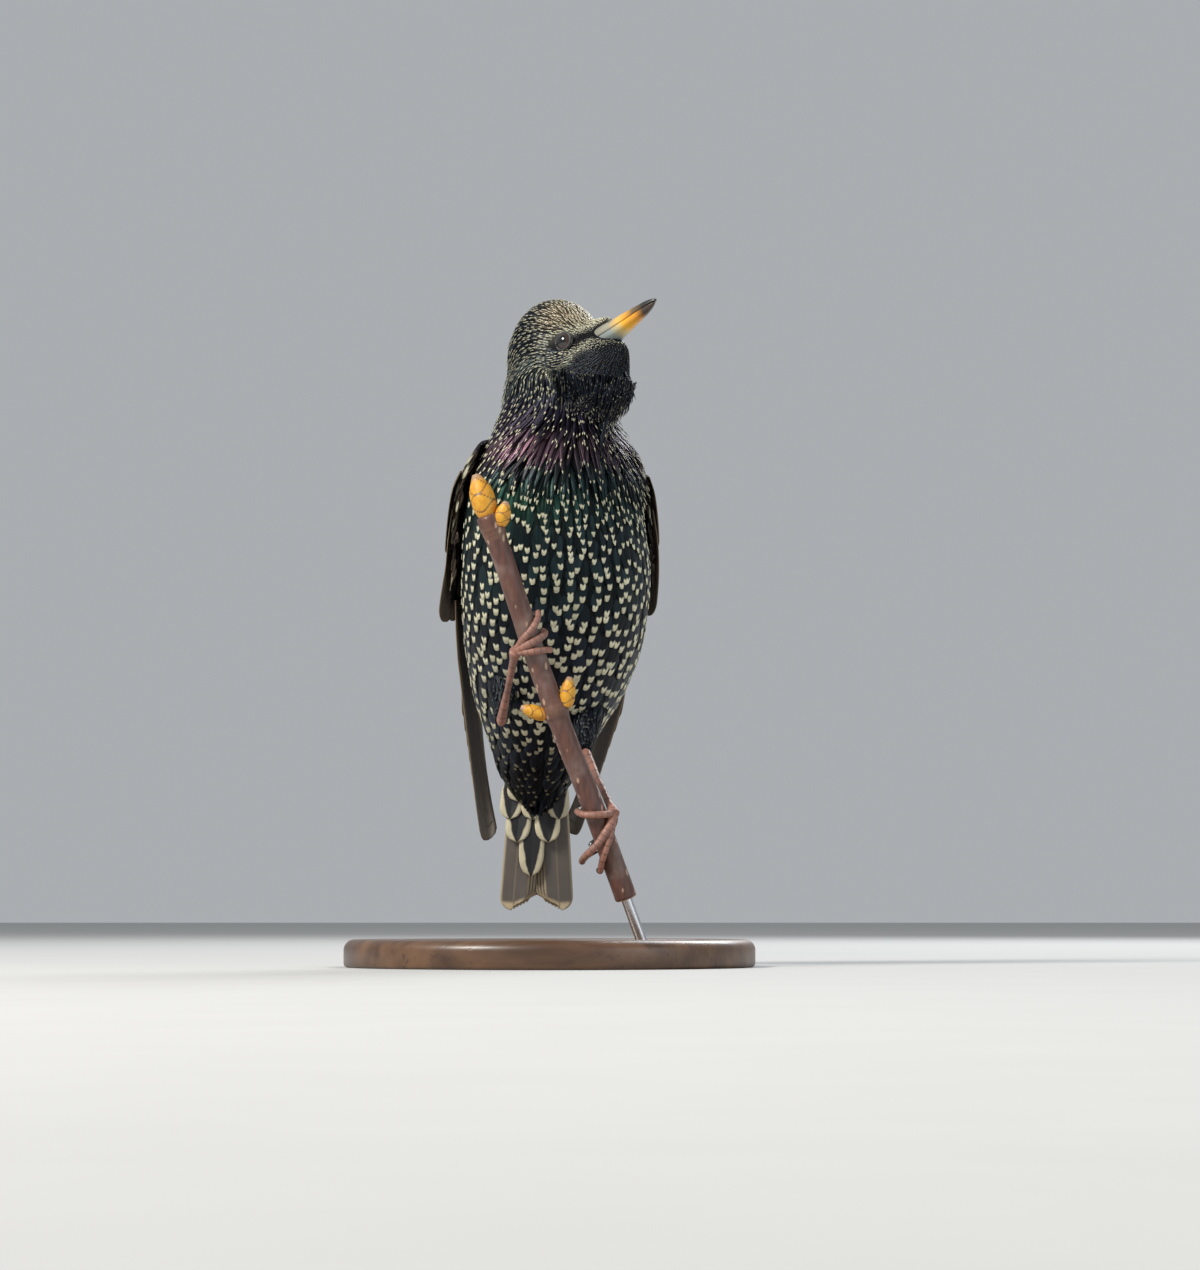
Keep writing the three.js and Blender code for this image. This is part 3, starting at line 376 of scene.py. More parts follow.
scales = Finish("bud_scales", Specular_IOR_Level=0.5)
up_bud, margin, foot = scales.painted("bud_marks")
mottle = scales.noise(scales.place(), 700, 3)
body = scales.mix(mottle.rise(0.35, 0.7) * 0.6 + foot * 0.5, BUD_YELLOW, BUD_ORANGE)
hemmed = scales.mix(margin.rise(0.15, 0.9) * 0.85, body, BUD_MARGIN)
scales.wear(
    Base_Color=scales.mix(up_bud.rise(0.78, 1.0) * 0.9, hemmed, BUD_TIP),
    Roughness=mottle * 0.2 + 0.4,
    height=mottle * 0.08,
)
for name, at, angle, out, lean, length, half in BUDS:
    lean = unit(np.array(lean))
    start = twig_place(at, angle, out) - 0.6 * lean
    line = start + np.linspace(0, 1, 40)[:, None] * length * lean
    q = np.linspace(0, 1, BUD_ROWS)
    turn = turns(BUD_SIDES)
    girth = half * np.sin(np.pi * np.minimum(q * 0.78 + 0.16, 1)) ** 0.8 + 0.22
    # Four scales in two crossed pairs: each overlaps the pair above it, with a step at its pointed margin.
    edges, step = np.zeros((2, BUD_ROWS, BUD_SIDES))
    for level, quarter in enumerate((0, 1, 0, 1)):
        tip = 0.34 + 0.2 * level
        away = np.abs(np.sin(turn - quarter * np.pi / 2 + 0.4))
        below = tip - q[:, None] - 0.22 * away**2
        step = np.maximum(step, np.clip(below / 0.03, 0, 1) * (0.46 - 0.11 * level))
        edges = np.maximum(edges, np.exp(-((below / 0.026) ** 2)))
    rings = tube(line, even(line), q, girth[:, None] * 0.92 + step * half * 0.33, BUD_SIDES)
    marks = layers(q[:, None], edges, np.exp(-q * 9)[:, None])
    build_rings(name.replace("bud", "leaf_bud"), rings, scales, [name], {"bud_marks": marks})


# The body: the skin under the feathers, one closed form from the bill's root to the tail's root.
# Its field is about the distance outside the feather tips: level sections of the trunk, and
# ellipsoids of skull, face, forehead, chin and throat, blended. The skin lies a coat's depth inside.
HEAD_TURN, HEAD_RAISE = np.radians(48), np.radians(17.5)
HEAD_POINT = np.array([8.4, -15.1, 176.2])
FORWARD = np.array([np.cos(HEAD_TURN), -np.sin(HEAD_TURN), np.tan(HEAD_RAISE)]) * np.cos(HEAD_RAISE)
HEAD_RIGHT = np.array([-np.sin(HEAD_TURN), -np.cos(HEAD_TURN), 0])
HEAD_UP = np.cross(HEAD_RIGHT, FORWARD)
TORSO_SECTIONS = np.array([  # height, centre x and y, half width, depth to the breast and to the back
    [51, -3.9, 22.5, 9.0, 6.5, 7], [57, -3.8, 19.8, 13.0, 10.5, 9.5], [66, -2.8, 16, 16.9, 15, 13],
    [79, -0.8, 11.5, 23.4, 21.5, 18], [93, 0.8, 7, 27.6, 27, 22], [107, 1.5, 3, 29.2, 30, 23.5],
    [119, 1.6, 0, 29.2, 30, 23], [137, 1.0, -4.5, 26.8, 27, 20.5], [146, 1.5, -6.5, 23.8, 23.5, 18.5],
    [158, 1.5, -10, 18.2, 17, 16], [170, 3.2, -12.5, 15.8, 14.5, 15],
])
HEAD_MASSES = [  # forward and up from HEAD_POINT, radii forward, sideways and up, and the blend
    (-8.5, 4.0, (17, 14, 19.2), 8), (2.5, 0.2, (12.5, 8.3, 8.2), 5), (9.5, 5.3, (7.8, 3.6, 3.0), 3),
    (11.5, -4.2, (8, 4.8, 4.6), 5), (6.5, -10, (9.5, 8.5, 9.5), 7),
]
SKIN_ROWS_FRONT, SKIN_ROWS_TRUNK, SKIN_ROWS_REAR, SKIN_COLUMNS = 12, 170, 12, 128


def head_place(forward, up, side=0.0):
    """A point given forward, up and to the bird's right of HEAD_POINT."""
    forward, up, side = (np.asarray(v, float)[..., None] for v in (forward, up, side))
    return HEAD_POINT + forward * FORWARD + up * HEAD_UP + side * HEAD_RIGHT


def torso_field(p):
    """Distance sideways out of the level section at the point's height, and beyond the end sections."""
    rows, z = TORSO_SECTIONS, TORSO_SECTIONS[:, 0]
    low = np.maximum(np.arange(len(z)) - 1, 0)
    high = np.minimum(np.arange(len(z)) + 1, len(z) - 1)
    slope = (rows[high] - rows[low]) / (z[high] - z[low])[:, None]
    at = np.clip(p[..., 2], z[0], z[-1])
    i = np.clip(np.searchsorted(z, at) - 1, 0, len(z) - 2)
    span = (z[i + 1] - z[i])[..., None]
    t = (at - z[i])[..., None] / span
    s = ((2 * t**3 - 3 * t**2 + 1) * rows[i] + (t**3 - 2 * t**2 + t) * span * slope[i]
         + (3 * t**2 - 2 * t**3) * rows[i + 1] + (t**3 - t**2) * span * slope[i + 1])
    dx, dy = p[..., 0] - s[..., 1], p[..., 1] - s[..., 2]
    ratio = np.hypot(dx / s[..., 3], dy / np.where(dy < 0, s[..., 4], s[..., 5]))
    reach = np.hypot(dx, dy)
    beyond = np.maximum(np.maximum(z[0] - p[..., 2], p[..., 2] - z[-1]), 0)
    return np.where(ratio > 1e-6, reach - reach / np.maximum(ratio, 1e-6), -s[..., 3]) + beyond


def plumage_field(p):
    """The trunk's field, smoothly joined with the ellipsoids of the head."""
    d = torso_field(p)
    for forward, up, radii, blend in HEAD_MASSES:
        away = p - head_place(forward, up)
        along = np.stack([away @ FORWARD, away @ HEAD_RIGHT, away @ HEAD_UP], -1)
        ratio = np.linalg.norm(along / radii, axis=-1)
        steep = np.maximum(np.linalg.norm(along / np.square(radii), axis=-1), 1e-6)
        mass = np.where(steep > 1.1e-6, ratio * (ratio - 1) / steep, -min(radii))
        h = np.maximum(blend - np.abs(d - mass), 0) / blend
        d = np.minimum(d, mass) - h * h * blend / 4
    return d


def outwards(p):
    """The field's gradient, by differences 0.2 mm each way, made a unit vector."""
    change = [plumage_field(p + 0.2 * axis) - plumage_field(p - 0.2 * axis) for axis in np.eye(3)]
    return unit(np.stack(change, -1))


core_curve, _ = smooth_line(np.vstack([
    head_place(10, -0.8), head_place(4, -1.0), head_place(-3, -2.5), [6.2, -13.4, 165], [2.8, -9.8, 154.5],
    [0.9, -6.3, 145], [1.2, 0, 119], [0.2, 7, 93], [-1.8, 14, 72], [-3.8, 20.2, 57],
]))
core_share = even(core_curve)


def body_rings():
    """Where rays leave the core for the skin, and their directions, which fan out over both ends."""
    front = np.linspace(np.pi / 2, 0, SKIN_ROWS_FRONT + 1)[:-1] - 0.04
    rear = -np.linspace(0, np.pi / 2, SKIN_ROWS_REAR + 1)[1:] + 0.04
    lift = np.concatenate([front, np.zeros(SKIN_ROWS_TRUNK), rear])
    along = np.clip(np.arange(len(lift)) - SKIN_ROWS_FRONT, 0, SKIN_ROWS_TRUNK - 1) / (SKIN_ROWS_TRUNK - 1)
    centre = on_line(core_curve, core_share, along)
    headwards, tailwards = (on_line(core_curve, core_share, np.clip(along + d, 0, 1)) for d in (-0.02, 0.02))
    axis = unit(headwards - tailwards)
    side = np.array([1.0, 0, 0]) - 0.5 * HEAD_RIGHT * (1 - along[:, None])
    side = unit(side - axis * (side * axis).sum(-1, keepdims=True))
    ahead = np.cross(side, axis)
    turn = turns(SKIN_COLUMNS)[:, None]
    flat = np.cos(turn) * side[:, None] + np.sin(turn) * ahead[:, None]
    rays = np.cos(lift)[:, None, None] * flat + np.sin(lift)[:, None, None] * axis[:, None]
    return centre[:, None], rays


def body_surface(depth):
    """The surface where the field is minus the depth: each ray halved 24 times between core and air."""
    centre, rays = body_rings()
    near, far = np.zeros(rays.shape[:2] + (1,)), np.full(rays.shape[:2] + (1,), 60.0)
    for _ in range(24):
        middle = (near + far) / 2
        inside = plumage_field(centre + rays * middle)[..., None] < -depth
        near, far = np.where(inside, middle, near), np.where(inside, far, middle)
    return centre + rays * near


def from_bill(p):
    """The distance of points from the bill's root, in millimetres, which sizes the feathers there."""
    return np.linalg.norm(p - head_place(13, 0), axis=-1)


skin_depth = np.interp(from_bill(body_surface(0.0)), [5, 12, 25, 45, 110], [0.35, 0.8, 1.3, 1.7, 1.9])
body_skin = body_surface(skin_depth[..., None])


# The sheen: small feathers are black, but their gloss turns green on the breast, purple on the ruff
# and blue elsewhere, and near the bill they are dull brown above and velvet black between bill and eye.
BLACK_BLUE, VELVET, SKIN_BLACK = (0.010, 0.014, 0.022), (0.004, 0.004, 0.005), (0.002, 0.002, 0.003)
GLOSS_GREEN, GLOSS_TEAL = (0.016, 0.060, 0.040), (0.010, 0.024, 0.026)
GLOSS_PURPLE, GLOSS_VIOLET = (0.200, 0.105, 0.140), (0.030, 0.018, 0.040)
CROWN_BUFF, CHEEK_GREY, CREAM = (0.30, 0.22, 0.13), (0.12, 0.15, 0.13), (0.80, 0.77, 0.56)
BROW_BUFF, MALAR_GREY = (0.34, 0.33, 0.25), (0.28, 0.29, 0.22)
SKIN_SHADE = 0.6


def soft(x, low, high):
    """Smooth rise from 0 at low to 1 at high."""
    t = np.clip((x - low) / (high - low), 0, 1)
    return t * t * (3 - 2 * t)


def head_frame(p):
    """How far a point is forward, up and to the bird's right of HEAD_POINT."""
    away = p - HEAD_POINT
    return away @ FORWARD, away @ HEAD_UP, away @ HEAD_RIGHT


def plumage_marks(p):
    """For points on the body: the sheen, how pale a tip's spot is, and a share for the spot's size."""
    forward, up, side = head_frame(p)
    z = p[..., 2]
    breast = soft(-p[..., 1] + 0.12 * z, 3, 25)
    sheen = np.ones(p.shape) * BLACK_BLUE

    def lay(colour, amount):
        sheen[:] = sheen + (np.array(colour) - sheen) * np.clip(amount, 0, 1)[..., None]

    # Green gloss is the breast's own iridescence, but its pooling left of middle, towards the key light, is
    # painted highlight.
    painted_highlight_left = bump_at(p[..., 0], -8, 14)
    lay(GLOSS_GREEN, 0.85 * bump_at(z, 132, 8) * breast * (0.45 + 0.55 * painted_highlight_left))
    lay(GLOSS_TEAL, 0.7 * bump_at(z, 112, 12) * breast)
    # The ruff's purple gloss is real, but its weighting to the left side, towards the key light, is painted
    # highlight.
    ruff = bump_at(z, 146 + 0.15 * np.abs(p[..., 0] - 2), 4.2)
    lay(GLOSS_PURPLE, 0.8 * ruff * (0.3 + 0.7 * bump_at(p[..., 0], -7, 10)))
    lay(GLOSS_VIOLET, 0.5 * bump_at(z, 157, 5))
    crown = soft(up + 0.2 * forward, 7, 11) * soft(forward, -9, 5)
    cheek = bump_at(up, -1.5, 5.0) * soft(-forward, -5, 4) * soft(z, 160, 168)
    brow = bump_at(up - 0.12 * forward, 5.0, 1.6) * soft(forward, -6, 5)
    malar = bump_at(up - 0.55 * (forward - 8), -1.6, 1.3) * soft(forward, -5, 1) * soft(np.abs(side), 4, 6)
    lores = bump_at(up - 0.08 * forward, 1.3, 1.6) * soft(forward, 5.5, 8.5)
    lay(CHEEK_GREY, 0.22 * cheek)
    lay(CROWN_BUFF, 0.5 * crown)
    lay(BROW_BUFF, 0.8 * brow * (1 - lores))
    lay(MALAR_GREY, 0.5 * malar)
    lay(VELVET, 1.2 * lores)
    paleness = 0.9 - 0.38 * soft(z, 150, 172) - 0.15 * cheek
    paleness = paleness * (1 - lores) + 0.12 * (brow + malar + crown)
    throat = soft(-up, 1.5, 4) * soft(forward, -3, 4) * soft(z, 158, 164)
    size = (1 - 0.55 * throat) * (1 - 0.9 * lores)
    paleness = paleness * (1 - 0.6 * throat)
    vent = soft(-z, -72, -60)
    return sheen, paleness * (1 - 0.55 * vent), size * (1 - 0.5 * vent)


skin = Finish("skin", Roughness=0.75, Specular_IOR_Level=0.12)
down = skin.noise(skin.place(), 900, 3)
skin.wear(Base_Color=skin.mix(down * 0.4 + 0.5, skin.colour("sheen"), SKIN_BLACK), height=down * 0.2)


def build_skin(name, rings, replaces=()):
    """A closed piece of skin from a stack of rings, in the plumage's own colours, darkened."""
    points = with_ends(rings)
    build(name, points, ring_faces(*rings.shape[:2]), skin, replaces,
          {"sheen": plumage_marks(points)[0] * SKIN_SHADE})


build_skin("body_skin", body_skin, ["head", "neck", "torso", "thigh_right", "thigh_left"])


# The thighs: a short tapered drumstick of feathers on each side, from the belly down to the heel joint.
LEGS = {  # knee and heel, and where the foot's hub stands: along the twig and round it
    "right": {"knee": (-13, -2, 84), "heel": (-14.0, -12.5, 70.6), "grip": (0.335, 2.85)},
    "left": {"knee": (11, 5, 76), "heel": (10.4, -8, 62.4), "grip": (0.79, 0.25)},
}
thigh_skins = {}
for side, leg in LEGS.items():
    knee, heel = np.array(leg["knee"], float), np.array(leg["heel"], float)
    line = knee + np.linspace(0, 1, 30)[:, None] * (heel + unit(heel - knee) * -0.6 - knee)
    q = np.linspace(0, 1, 30)
    radius = 6.2 * (1 - q**0.8) + 1.45 * q**0.8
    thigh_skins[side] = tube(line, even(line), q, radius[:, None], 36)
    build_skin(f"thigh_skin_{side}", thigh_skins[side])


# The coat: small closed vanes in rings, each rooted in the skin, running tailwards over the next ones,
# and lifting a little at its tip, which carries a cream spot. They are long and pointed on the ruff.
VANE_ROWS = 6
MARK_WIDE, MARK_LONG = 4, 12  # the millimetres across and along a vane that its marks count as 1
VANE_ACROSS = np.array([-1, -0.5, 0, 0.5, 1, 0])
VANE_FACE = np.array([0, 1, 1, 1, 0, -1])
COAT_TABLE = {  # by distance from the bill's root, in millimetres
    "reach": [4, 7, 12, 18, 26, 36, 48, 60, 80, 105, 125],
    "length": [1.7, 2.4, 3.4, 4.8, 6.5, 8.2, 9.4, 10.5, 11.5, 11.5, 11.0],
    "half": [0.34, 0.42, 0.55, 0.75, 0.95, 1.25, 1.75, 2.5, 3.1, 3.2, 2.9],
    "step": [0.5, 0.68, 0.88, 1.15, 1.6, 2.1, 2.6, 2.9, 3.1, 3.1, 2.8],
    "across": [0.46, 0.58, 0.76, 1.02, 1.45, 2.0, 2.8, 3.7, 4.2, 4.2, 3.8],
    "spot_long": [0.5, 0.65, 0.9, 1.15, 1.2, 1.25, 1.5, 1.8, 2.05, 2.1, 1.5],
    "spot_half": [0.11, 0.14, 0.17, 0.22, 0.31, 0.43, 0.66, 0.82, 1.0, 1.05, 0.9],
    "lift": [0.1, 0.18, 0.3, 0.5, 0.6, 0.5, 0.4, 0.35, 0.3, 0.35, 0.5],
    "point": [0.6, 0.8, 0.85, 0.9, 0.95, 0.95, 0.6, 0.25, 0.15, 0.2, 0.5],
}


class Carpet:
    """A grid of skin points that feathers are laid on: rows run tailwards, columns run round."""

    def __init__(self, points, normals):
        self.points, self.normals = points, normals
        self.row_step = np.linalg.norm(np.gradient(points, axis=0), axis=-1)
        wrapped = (np.roll(points, -1, 1) - np.roll(points, 1, 1)) / 2
        self.column_step, self.sideways = np.linalg.norm(wrapped, axis=-1), unit(wrapped)

    def paces(self, row, column):
        """The millimetres, at least 0.05, that one step down the rows and one round the columns cover."""
        return [np.maximum(self.read(step, row, column), 0.05) for step in (self.row_step, self.column_step)]

    def read(self, table, row, column):
        """The table's value between grid points, by straight-line blending."""
        rows, columns = self.points.shape[:2]
        row = np.clip(row, 0, rows - 1.001)
        i, j = np.floor(row).astype(int), np.floor(column).astype(int)
        a, b = row - i, column - j
        if table.ndim == 3:
            a, b = a[..., None], b[..., None]
        j, k = j % columns, (j + 1) % columns
        return ((1 - a) * ((1 - b) * table[i, j] + b * table[i, k])
                + a * ((1 - b) * table[i + 1, j] + b * table[i + 1, k]))


def rounded_end(s, start, span, power):
    """1 up to the start, then the square root of 1 less the share of the span to the power, down to 0."""
    return np.sqrt(np.clip(1 - np.clip((s - start) / span, 0, 1) ** power, 0, 1))


def lay_vanes(carpet, row, column, size):
    """Marches each vane's shaft tailwards over the carpet and hangs width, camber and thickness on it."""
    v = np.linspace(0, 1, VANE_ROWS)
    rows, columns = [row], [column]
    along = size["length"] / (VANE_ROWS - 1)
    for _ in v[1:]:
        down, aside = carpet.paces(rows[-1], columns[-1])
        rows.append(rows[-1] + np.cos(size["swing"]) * along / down)
        columns.append(columns[-1] + np.sin(size["swing"]) * along / aside)
    r, c = np.stack(rows, 1), np.stack(columns, 1)
    centre, out, side = (carpet.read(t, r, c) for t in (carpet.points, carpet.normals, carpet.sideways))
    side = unit(side - out * (side * out).sum(-1, keepdims=True))
    length, half, lift, point = (size[k][:, None] for k in ("length", "half", "lift", "point"))
    blunt = rounded_end(v, 0.45, 0.56, 2.4)
    sharp = np.clip(1 - v, 0, 1) ** 0.75 * 1.15
    width = half * (np.minimum(v / 0.3, 1) ** 0.6 * ((1 - point) * blunt + point * sharp) + 0.03)
    sink = size["sink"][:, None]
    rise = sink + (lift - sink) * v**0.75
    u = VANE_ACROSS
    high = (0.10 * (1 - u**2) * (VANE_FACE >= 0) - 0.07 * (VANE_FACE < 0)) - 0.16 * width[..., None] * u**2
    shape = (centre[:, :, None] + (rise[:, :, None] + high)[..., None] * out[:, :, None]
             + (width[..., None] * u)[..., None] * side[:, :, None])
    lateral = np.abs(u) * width[..., None]
    to_tip = (length * (1 - v))[..., None] + 0 * lateral
    return shape, lateral, to_tip


def vane_faces(count):
    """Each vane's six-cornered rings joined in order, and a six-sided cap at each end."""
    m = len(VANE_ACROSS)
    tube_faces = grid_faces(VANE_ROWS, m, True)
    caps = np.array([np.arange(m), (VANE_ROWS - 1) * m + np.arange(m)[::-1]])
    shift = (np.arange(count) * VANE_ROWS * m)[:, None, None]
    return [(tube_faces + shift).reshape(-1, 4), (caps[:, ::-1] + shift).reshape(-1, m)]


feather = Finish("small_feathers", Specular_IOR_Level=0.3)
lateral, to_tip, lot = feather.painted("vane")
spot_half, spot_long, paleness = feather.painted("spot")
inwards = 1 - lateral / spot_half
notch = inwards.rise(0.45, 1.1) * (lot * 0.34)
spot = inwards.rise(-0.15, 0.2) * (1 - to_tip / spot_long - notch).rise(-0.12, 0.2) * paleness
barbs = (to_tip * 26 + lateral * 14).wave()
shade = (barbs * 0.12 + 0.9) * (lot * 0.35 + 0.82)
grey = feather.node("CombineColor", {}, {0: shade, 1: shade, 2: shade})
shading = {"data_type": "RGBA", "blend_type": "MULTIPLY"}
dark = feather.node("Mix", shading, {0: 1.0, 6: feather.colour("sheen"), 7: grey}, 2)
feather.wear(
    Base_Color=feather.mix(spot, dark, CREAM),
    Metallic=(1 - spot) * 0.65,
    Roughness=spot * 0.3 + lot * 0.08 + 0.30,
    height=barbs * 0.012,
)


def coat(name, carpet, row, column, size, pale=1.0, ground=None):
    """One piece of the coat: its vanes, their marks, and a small patch each on the bake map."""
    shape, lateral, to_tip = lay_vanes(carpet, row, column, size)
    tips = row + 0.7 * size["length"] / carpet.paces(row, column)[0]
    colour, paleness, share = plumage_marks(carpet.read(carpet.points, tips, column))
    if ground is not None:
        colour, paleness, share = np.full(colour.shape, ground), 1.0, 1.0
    many = shape.shape[1] * shape.shape[2]
    lot = chance.random(len(row))
    vane = layers(lateral.ravel() / MARK_WIDE, to_tip.ravel() / MARK_LONG, np.repeat(lot, many))
    spot = layers(np.maximum(size["spot_half"] * share, 0.03) / MARK_WIDE,
                  np.maximum(size["spot_long"] * share, 0.03) / MARK_LONG,
                  np.clip(paleness * pale * (0.8 + 0.3 * lot), 0, 1))
    tint = colour * (0.45 + 1.1 * chance.random((len(row), 1)) ** 1.5)
    rows, columns = carpet.points.shape[:2]
    root_uv = layers(column % columns / columns, row / rows)
    patch = layers(VANE_ACROSS, np.linspace(-1, 1, VANE_ROWS)[:, None]) * 0.0015
    build(name, shape.reshape(-1, 3), vane_faces(len(row)), feather, (),
          {"vane": vane, "spot": np.repeat(spot, many, axis=0), "sheen": np.repeat(tint, many, axis=0)},
          (root_uv[:, None, None] + patch).reshape(-1, 2))


def sizes_at(reach):
    """Every size in the coat's table, read at the given distances from the bill's root."""
    distances, *_ = COAT_TABLE.values()
    return {key: np.interp(reach, distances, values) for key, values in COAT_TABLE.items() if key != "reach"}


def rings_of_roots(carpet, size, first=0.0):
    """Rings of roots. A ring lies where the steps summed down each column reach its number, and along it
    the roots stand where the widths summed round it, from the front, reach each whole number. Rings of
    small feathers are staggered, and those of broad ones stand in columns."""
    rows, columns = carpet.points.shape[:2]
    front = carpet.points[rows // 2, :, 1].argmin()
    down = np.cumsum(carpet.row_step / size["step"], axis=0)
    wide = carpet.column_step / size["across"]
    every, found = np.arange(columns), []
    for ring in np.arange(first, down.max(), 1.0):
        above = np.clip((down < ring).sum(0), 1, rows - 1)
        low, high = down[above - 1, every], down[above, every]
        row = above - 1 + np.clip((ring - low) / np.maximum(high - low, 1e-6), 0, 1)
        width = np.where(down[-1] > ring, wide[above, every], 0)
        round_it = np.concatenate([[0], np.cumsum(width)])
        many = int(round_it[-1])
        if many < 3:
            continue
        stagger = 0.5 * (ring % 2) * (size["across"][above, every].mean() < 3)
        wanted = (np.arange(many) + stagger + chance.uniform(-0.12, 0.12, many)) / many * round_it[-1]
        wanted = (wanted + round_it[front]) % round_it[-1]
        column = np.interp(wanted, round_it, np.arange(columns + 1))
        found.append((np.interp(column, np.arange(columns + 1), np.append(row, row[0])), column % columns))
    row, column = (np.concatenate(part) for part in zip(*found))
    steps = carpet.read(size["step"] / np.maximum(carpet.row_step, 0.02), row, column)
    return np.clip(row + chance.uniform(-0.12, 0.12, len(row)) * steps, 0.5, rows - 1.5), column


body_carpet = Carpet(body_skin, outwards(body_skin))
coat_row, coat_column = rings_of_roots(body_carpet, sizes_at(from_bill(body_skin)))


# The folded wings: each is a fan of long dark vanes edged with buff, shingled from the leading edge to
# the back, under two rows of coverts and a shoulder of small ones. They lie on the flanks, and hang
# free of them near the tip.
WINGS = {
    "right": (
        [[-16.5, -12, 150], [-22.6, -7, 138], [-27.6, 0, 120], [-29.6, 5, 107.5], [-29.8, 10, 93],
         [-28.2, 15, 78], [-25.8, 19.5, 63], [-23.4, 22.5, 50], [-20.6, 24.3, 36.5]],
        [[-10, 2, 156], [-8, 13, 143], [-5, 23, 123], [-4, 29, 108], [-6, 33.5, 93],
         [-10, 35, 77], [-13, 34, 62], [-14.6, 31, 49.5], [-15.6, 28.5, 38.5]]),
    "left": (
        [[20.5, -10, 150], [24.8, -3.5, 138], [27.4, 6, 120], [27.6, 11, 107.5], [26.2, 16.5, 93],
         [23.0, 21, 78], [18.0, 26, 63], [12.8, 30.5, 50], [7.6, 33.5, 38.4]],
        [[12, 2, 156], [10, 12, 143], [6.5, 23, 123], [5.5, 29, 108], [5, 33.5, 93],
         [5, 36.5, 77], [4, 38, 62], [3, 37.5, 49.5], [3.2, 35.5, 40.5]]),
}
WING_CLEARANCE = 0.75
WING_GROUPS = [  # how many, roots' and tips' places along and across, half width, height, tilt, flare
    ("primaries", 9, (0.30, 0.30), (0.10, 0.36), (1.0, 0.66), (0.5, 0.3), 3.3, 0.15, 0.35, 0),
    ("secondaries", 6, (0.20, 0.20), (0.28, 0.6), (0.65, 0.58), (0.36, 0.66), 3.6, 0.9, 0.35, 0),
    ("tertials", 3, (0.12, 0.12), (0.62, 0.84), (0.56, 0.46), (0.74, 0.9), 4.4, 1.45, 0.3, 0),
    ("greater_coverts", 9, (0.16, 0.16), (0.06, 0.92), (0.415, 0.41), (0.08, 0.93), 2.6, 1.8, 0.25, 1.7),
    ("median_coverts", 9, (0.09, 0.09), (0.05, 0.9), (0.235, 0.24), (0.08, 0.92), 2.5, 2.25, 0.25, 0.3),
]
WING_FLARE = {"right": 1.0, "left": 0.25}  # how much of its flare each wing's tips stand off
WING_BROWN, WING_DARK, BUFF = (0.075, 0.056, 0.042), (0.050, 0.041, 0.036), (0.44, 0.33, 0.20)
BARB_BLACK, SHAFT_BROWN, UNDER_GREY = (0.012, 0.011, 0.012), (0.03, 0.022, 0.018), (0.150, 0.128, 0.108)
BED_REACH, BED_ROWS, COVERT_LAST_ROW = 0.37, 44, 36


def wing_place(wing, along, across, height):
    """A point of the wing: between its edge lines, pushed clear of the plumage, then out by the height."""
    along, across, height = np.broadcast_arrays(*(np.asarray(v, float) for v in (along, across, height)))
    lead, trail = (smooth_line(np.array(edge, float)) for edge in wing)
    t = np.clip(along, 0, 1)
    first, second = on_line(*lead, t), on_line(*trail, t)
    p = first + (second - first) * across[..., None]
    aside = np.where(p[..., 0] < 0, -0.5, 0.5)
    back = unit(layers(aside, 0.85, 0))
    p = p + back * (np.sin(np.pi * np.clip(across, 0, 1)) * 2.2)[..., None]
    for _ in range(2):
        p = p + outwards(p) * np.maximum(WING_CLEARANCE - plumage_field(p), 0)[..., None]
    free = soft(plumage_field(p), 2, 9)[..., None]
    return p + unit(outwards(p) * (1 - free) + back * free) * height[..., None]


def sheet_faces(rows, columns):
    """A closed sheet of two grids of points: the outer face, the inner face, and quads round the rim."""
    outer = grid_faces(rows, columns)
    grid = np.arange(rows * columns).reshape(rows, columns)
    rim = np.concatenate([grid[0, :-1], grid[:-1, -1], grid[-1, :0:-1], grid[:0:-1, 0]])
    after = np.roll(rim, -1)
    n = rows * columns
    return np.concatenate([outer, outer[:, ::-1] + n, np.stack([rim, rim + n, after + n, after], 1)])


def sheet_paint(u, s, shade, fringe):
    """A vane's values: across and along it and which face, then its ground colour, then its fringe."""
    count = u.size
    web = np.concatenate([layers((u.ravel() + 1) / 2, s.ravel(), face) for face in (1.0, 0.0)])
    return {"web": web, "ground": np.tile(shade, (2 * count, 1)), "fringe": np.tile(fringe, (2 * count, 1))}


def tile_map(count, rows, columns):
    """A bake map with a tile of its own for the outer face of each vane, and one beside it for the inner."""
    side = int(np.ceil(np.sqrt(2 * count)))
    y, x = np.mgrid[0:rows, 0:columns]
    tile = np.stack([x.ravel() / (columns - 1), y.ravel() / (rows - 1)], -1) * 0.9 + 0.05
    return np.concatenate([(tile + (k % side, k // side)) / side for k in range(2 * count)])


def build_sheets(name, sheets, finish, replaces=()):
    """Many closed sheets of one size as one mesh: each is two grids of points and its painted values."""
    rows, columns = sheets[0][0].shape[:2]
    points = np.concatenate([face.reshape(-1, 3) for outer, inner, _ in sheets for face in (outer, inner)])
    faces = [sheet_faces(rows, columns) + k * 2 * rows * columns for k in range(len(sheets))]
    painted = {key: np.concatenate([paint[key] for _, _, paint in sheets]) for key in sheets[0][2]}
    build(name, points, [np.concatenate(faces)], finish, replaces, painted,
          tile_map(len(sheets), rows, columns))


def web_readings(finish):
    """A vane's place along, its face, how far from the shaft a point lies, its ground and its fringe."""
    across, along, outer_face = finish.painted("web")
    return along, outer_face, abs(across * 2 - 1), finish.colour("ground"), finish.colour("fringe")


def vane_grid(rows, columns):
    """Places along a long vane, closer together towards its tip, and across it from -1 to 1."""
    return np.meshgrid(1 - (1 - np.linspace(0, 1, rows)) ** 1.8, np.linspace(-1, 1, columns), indexing="ij")


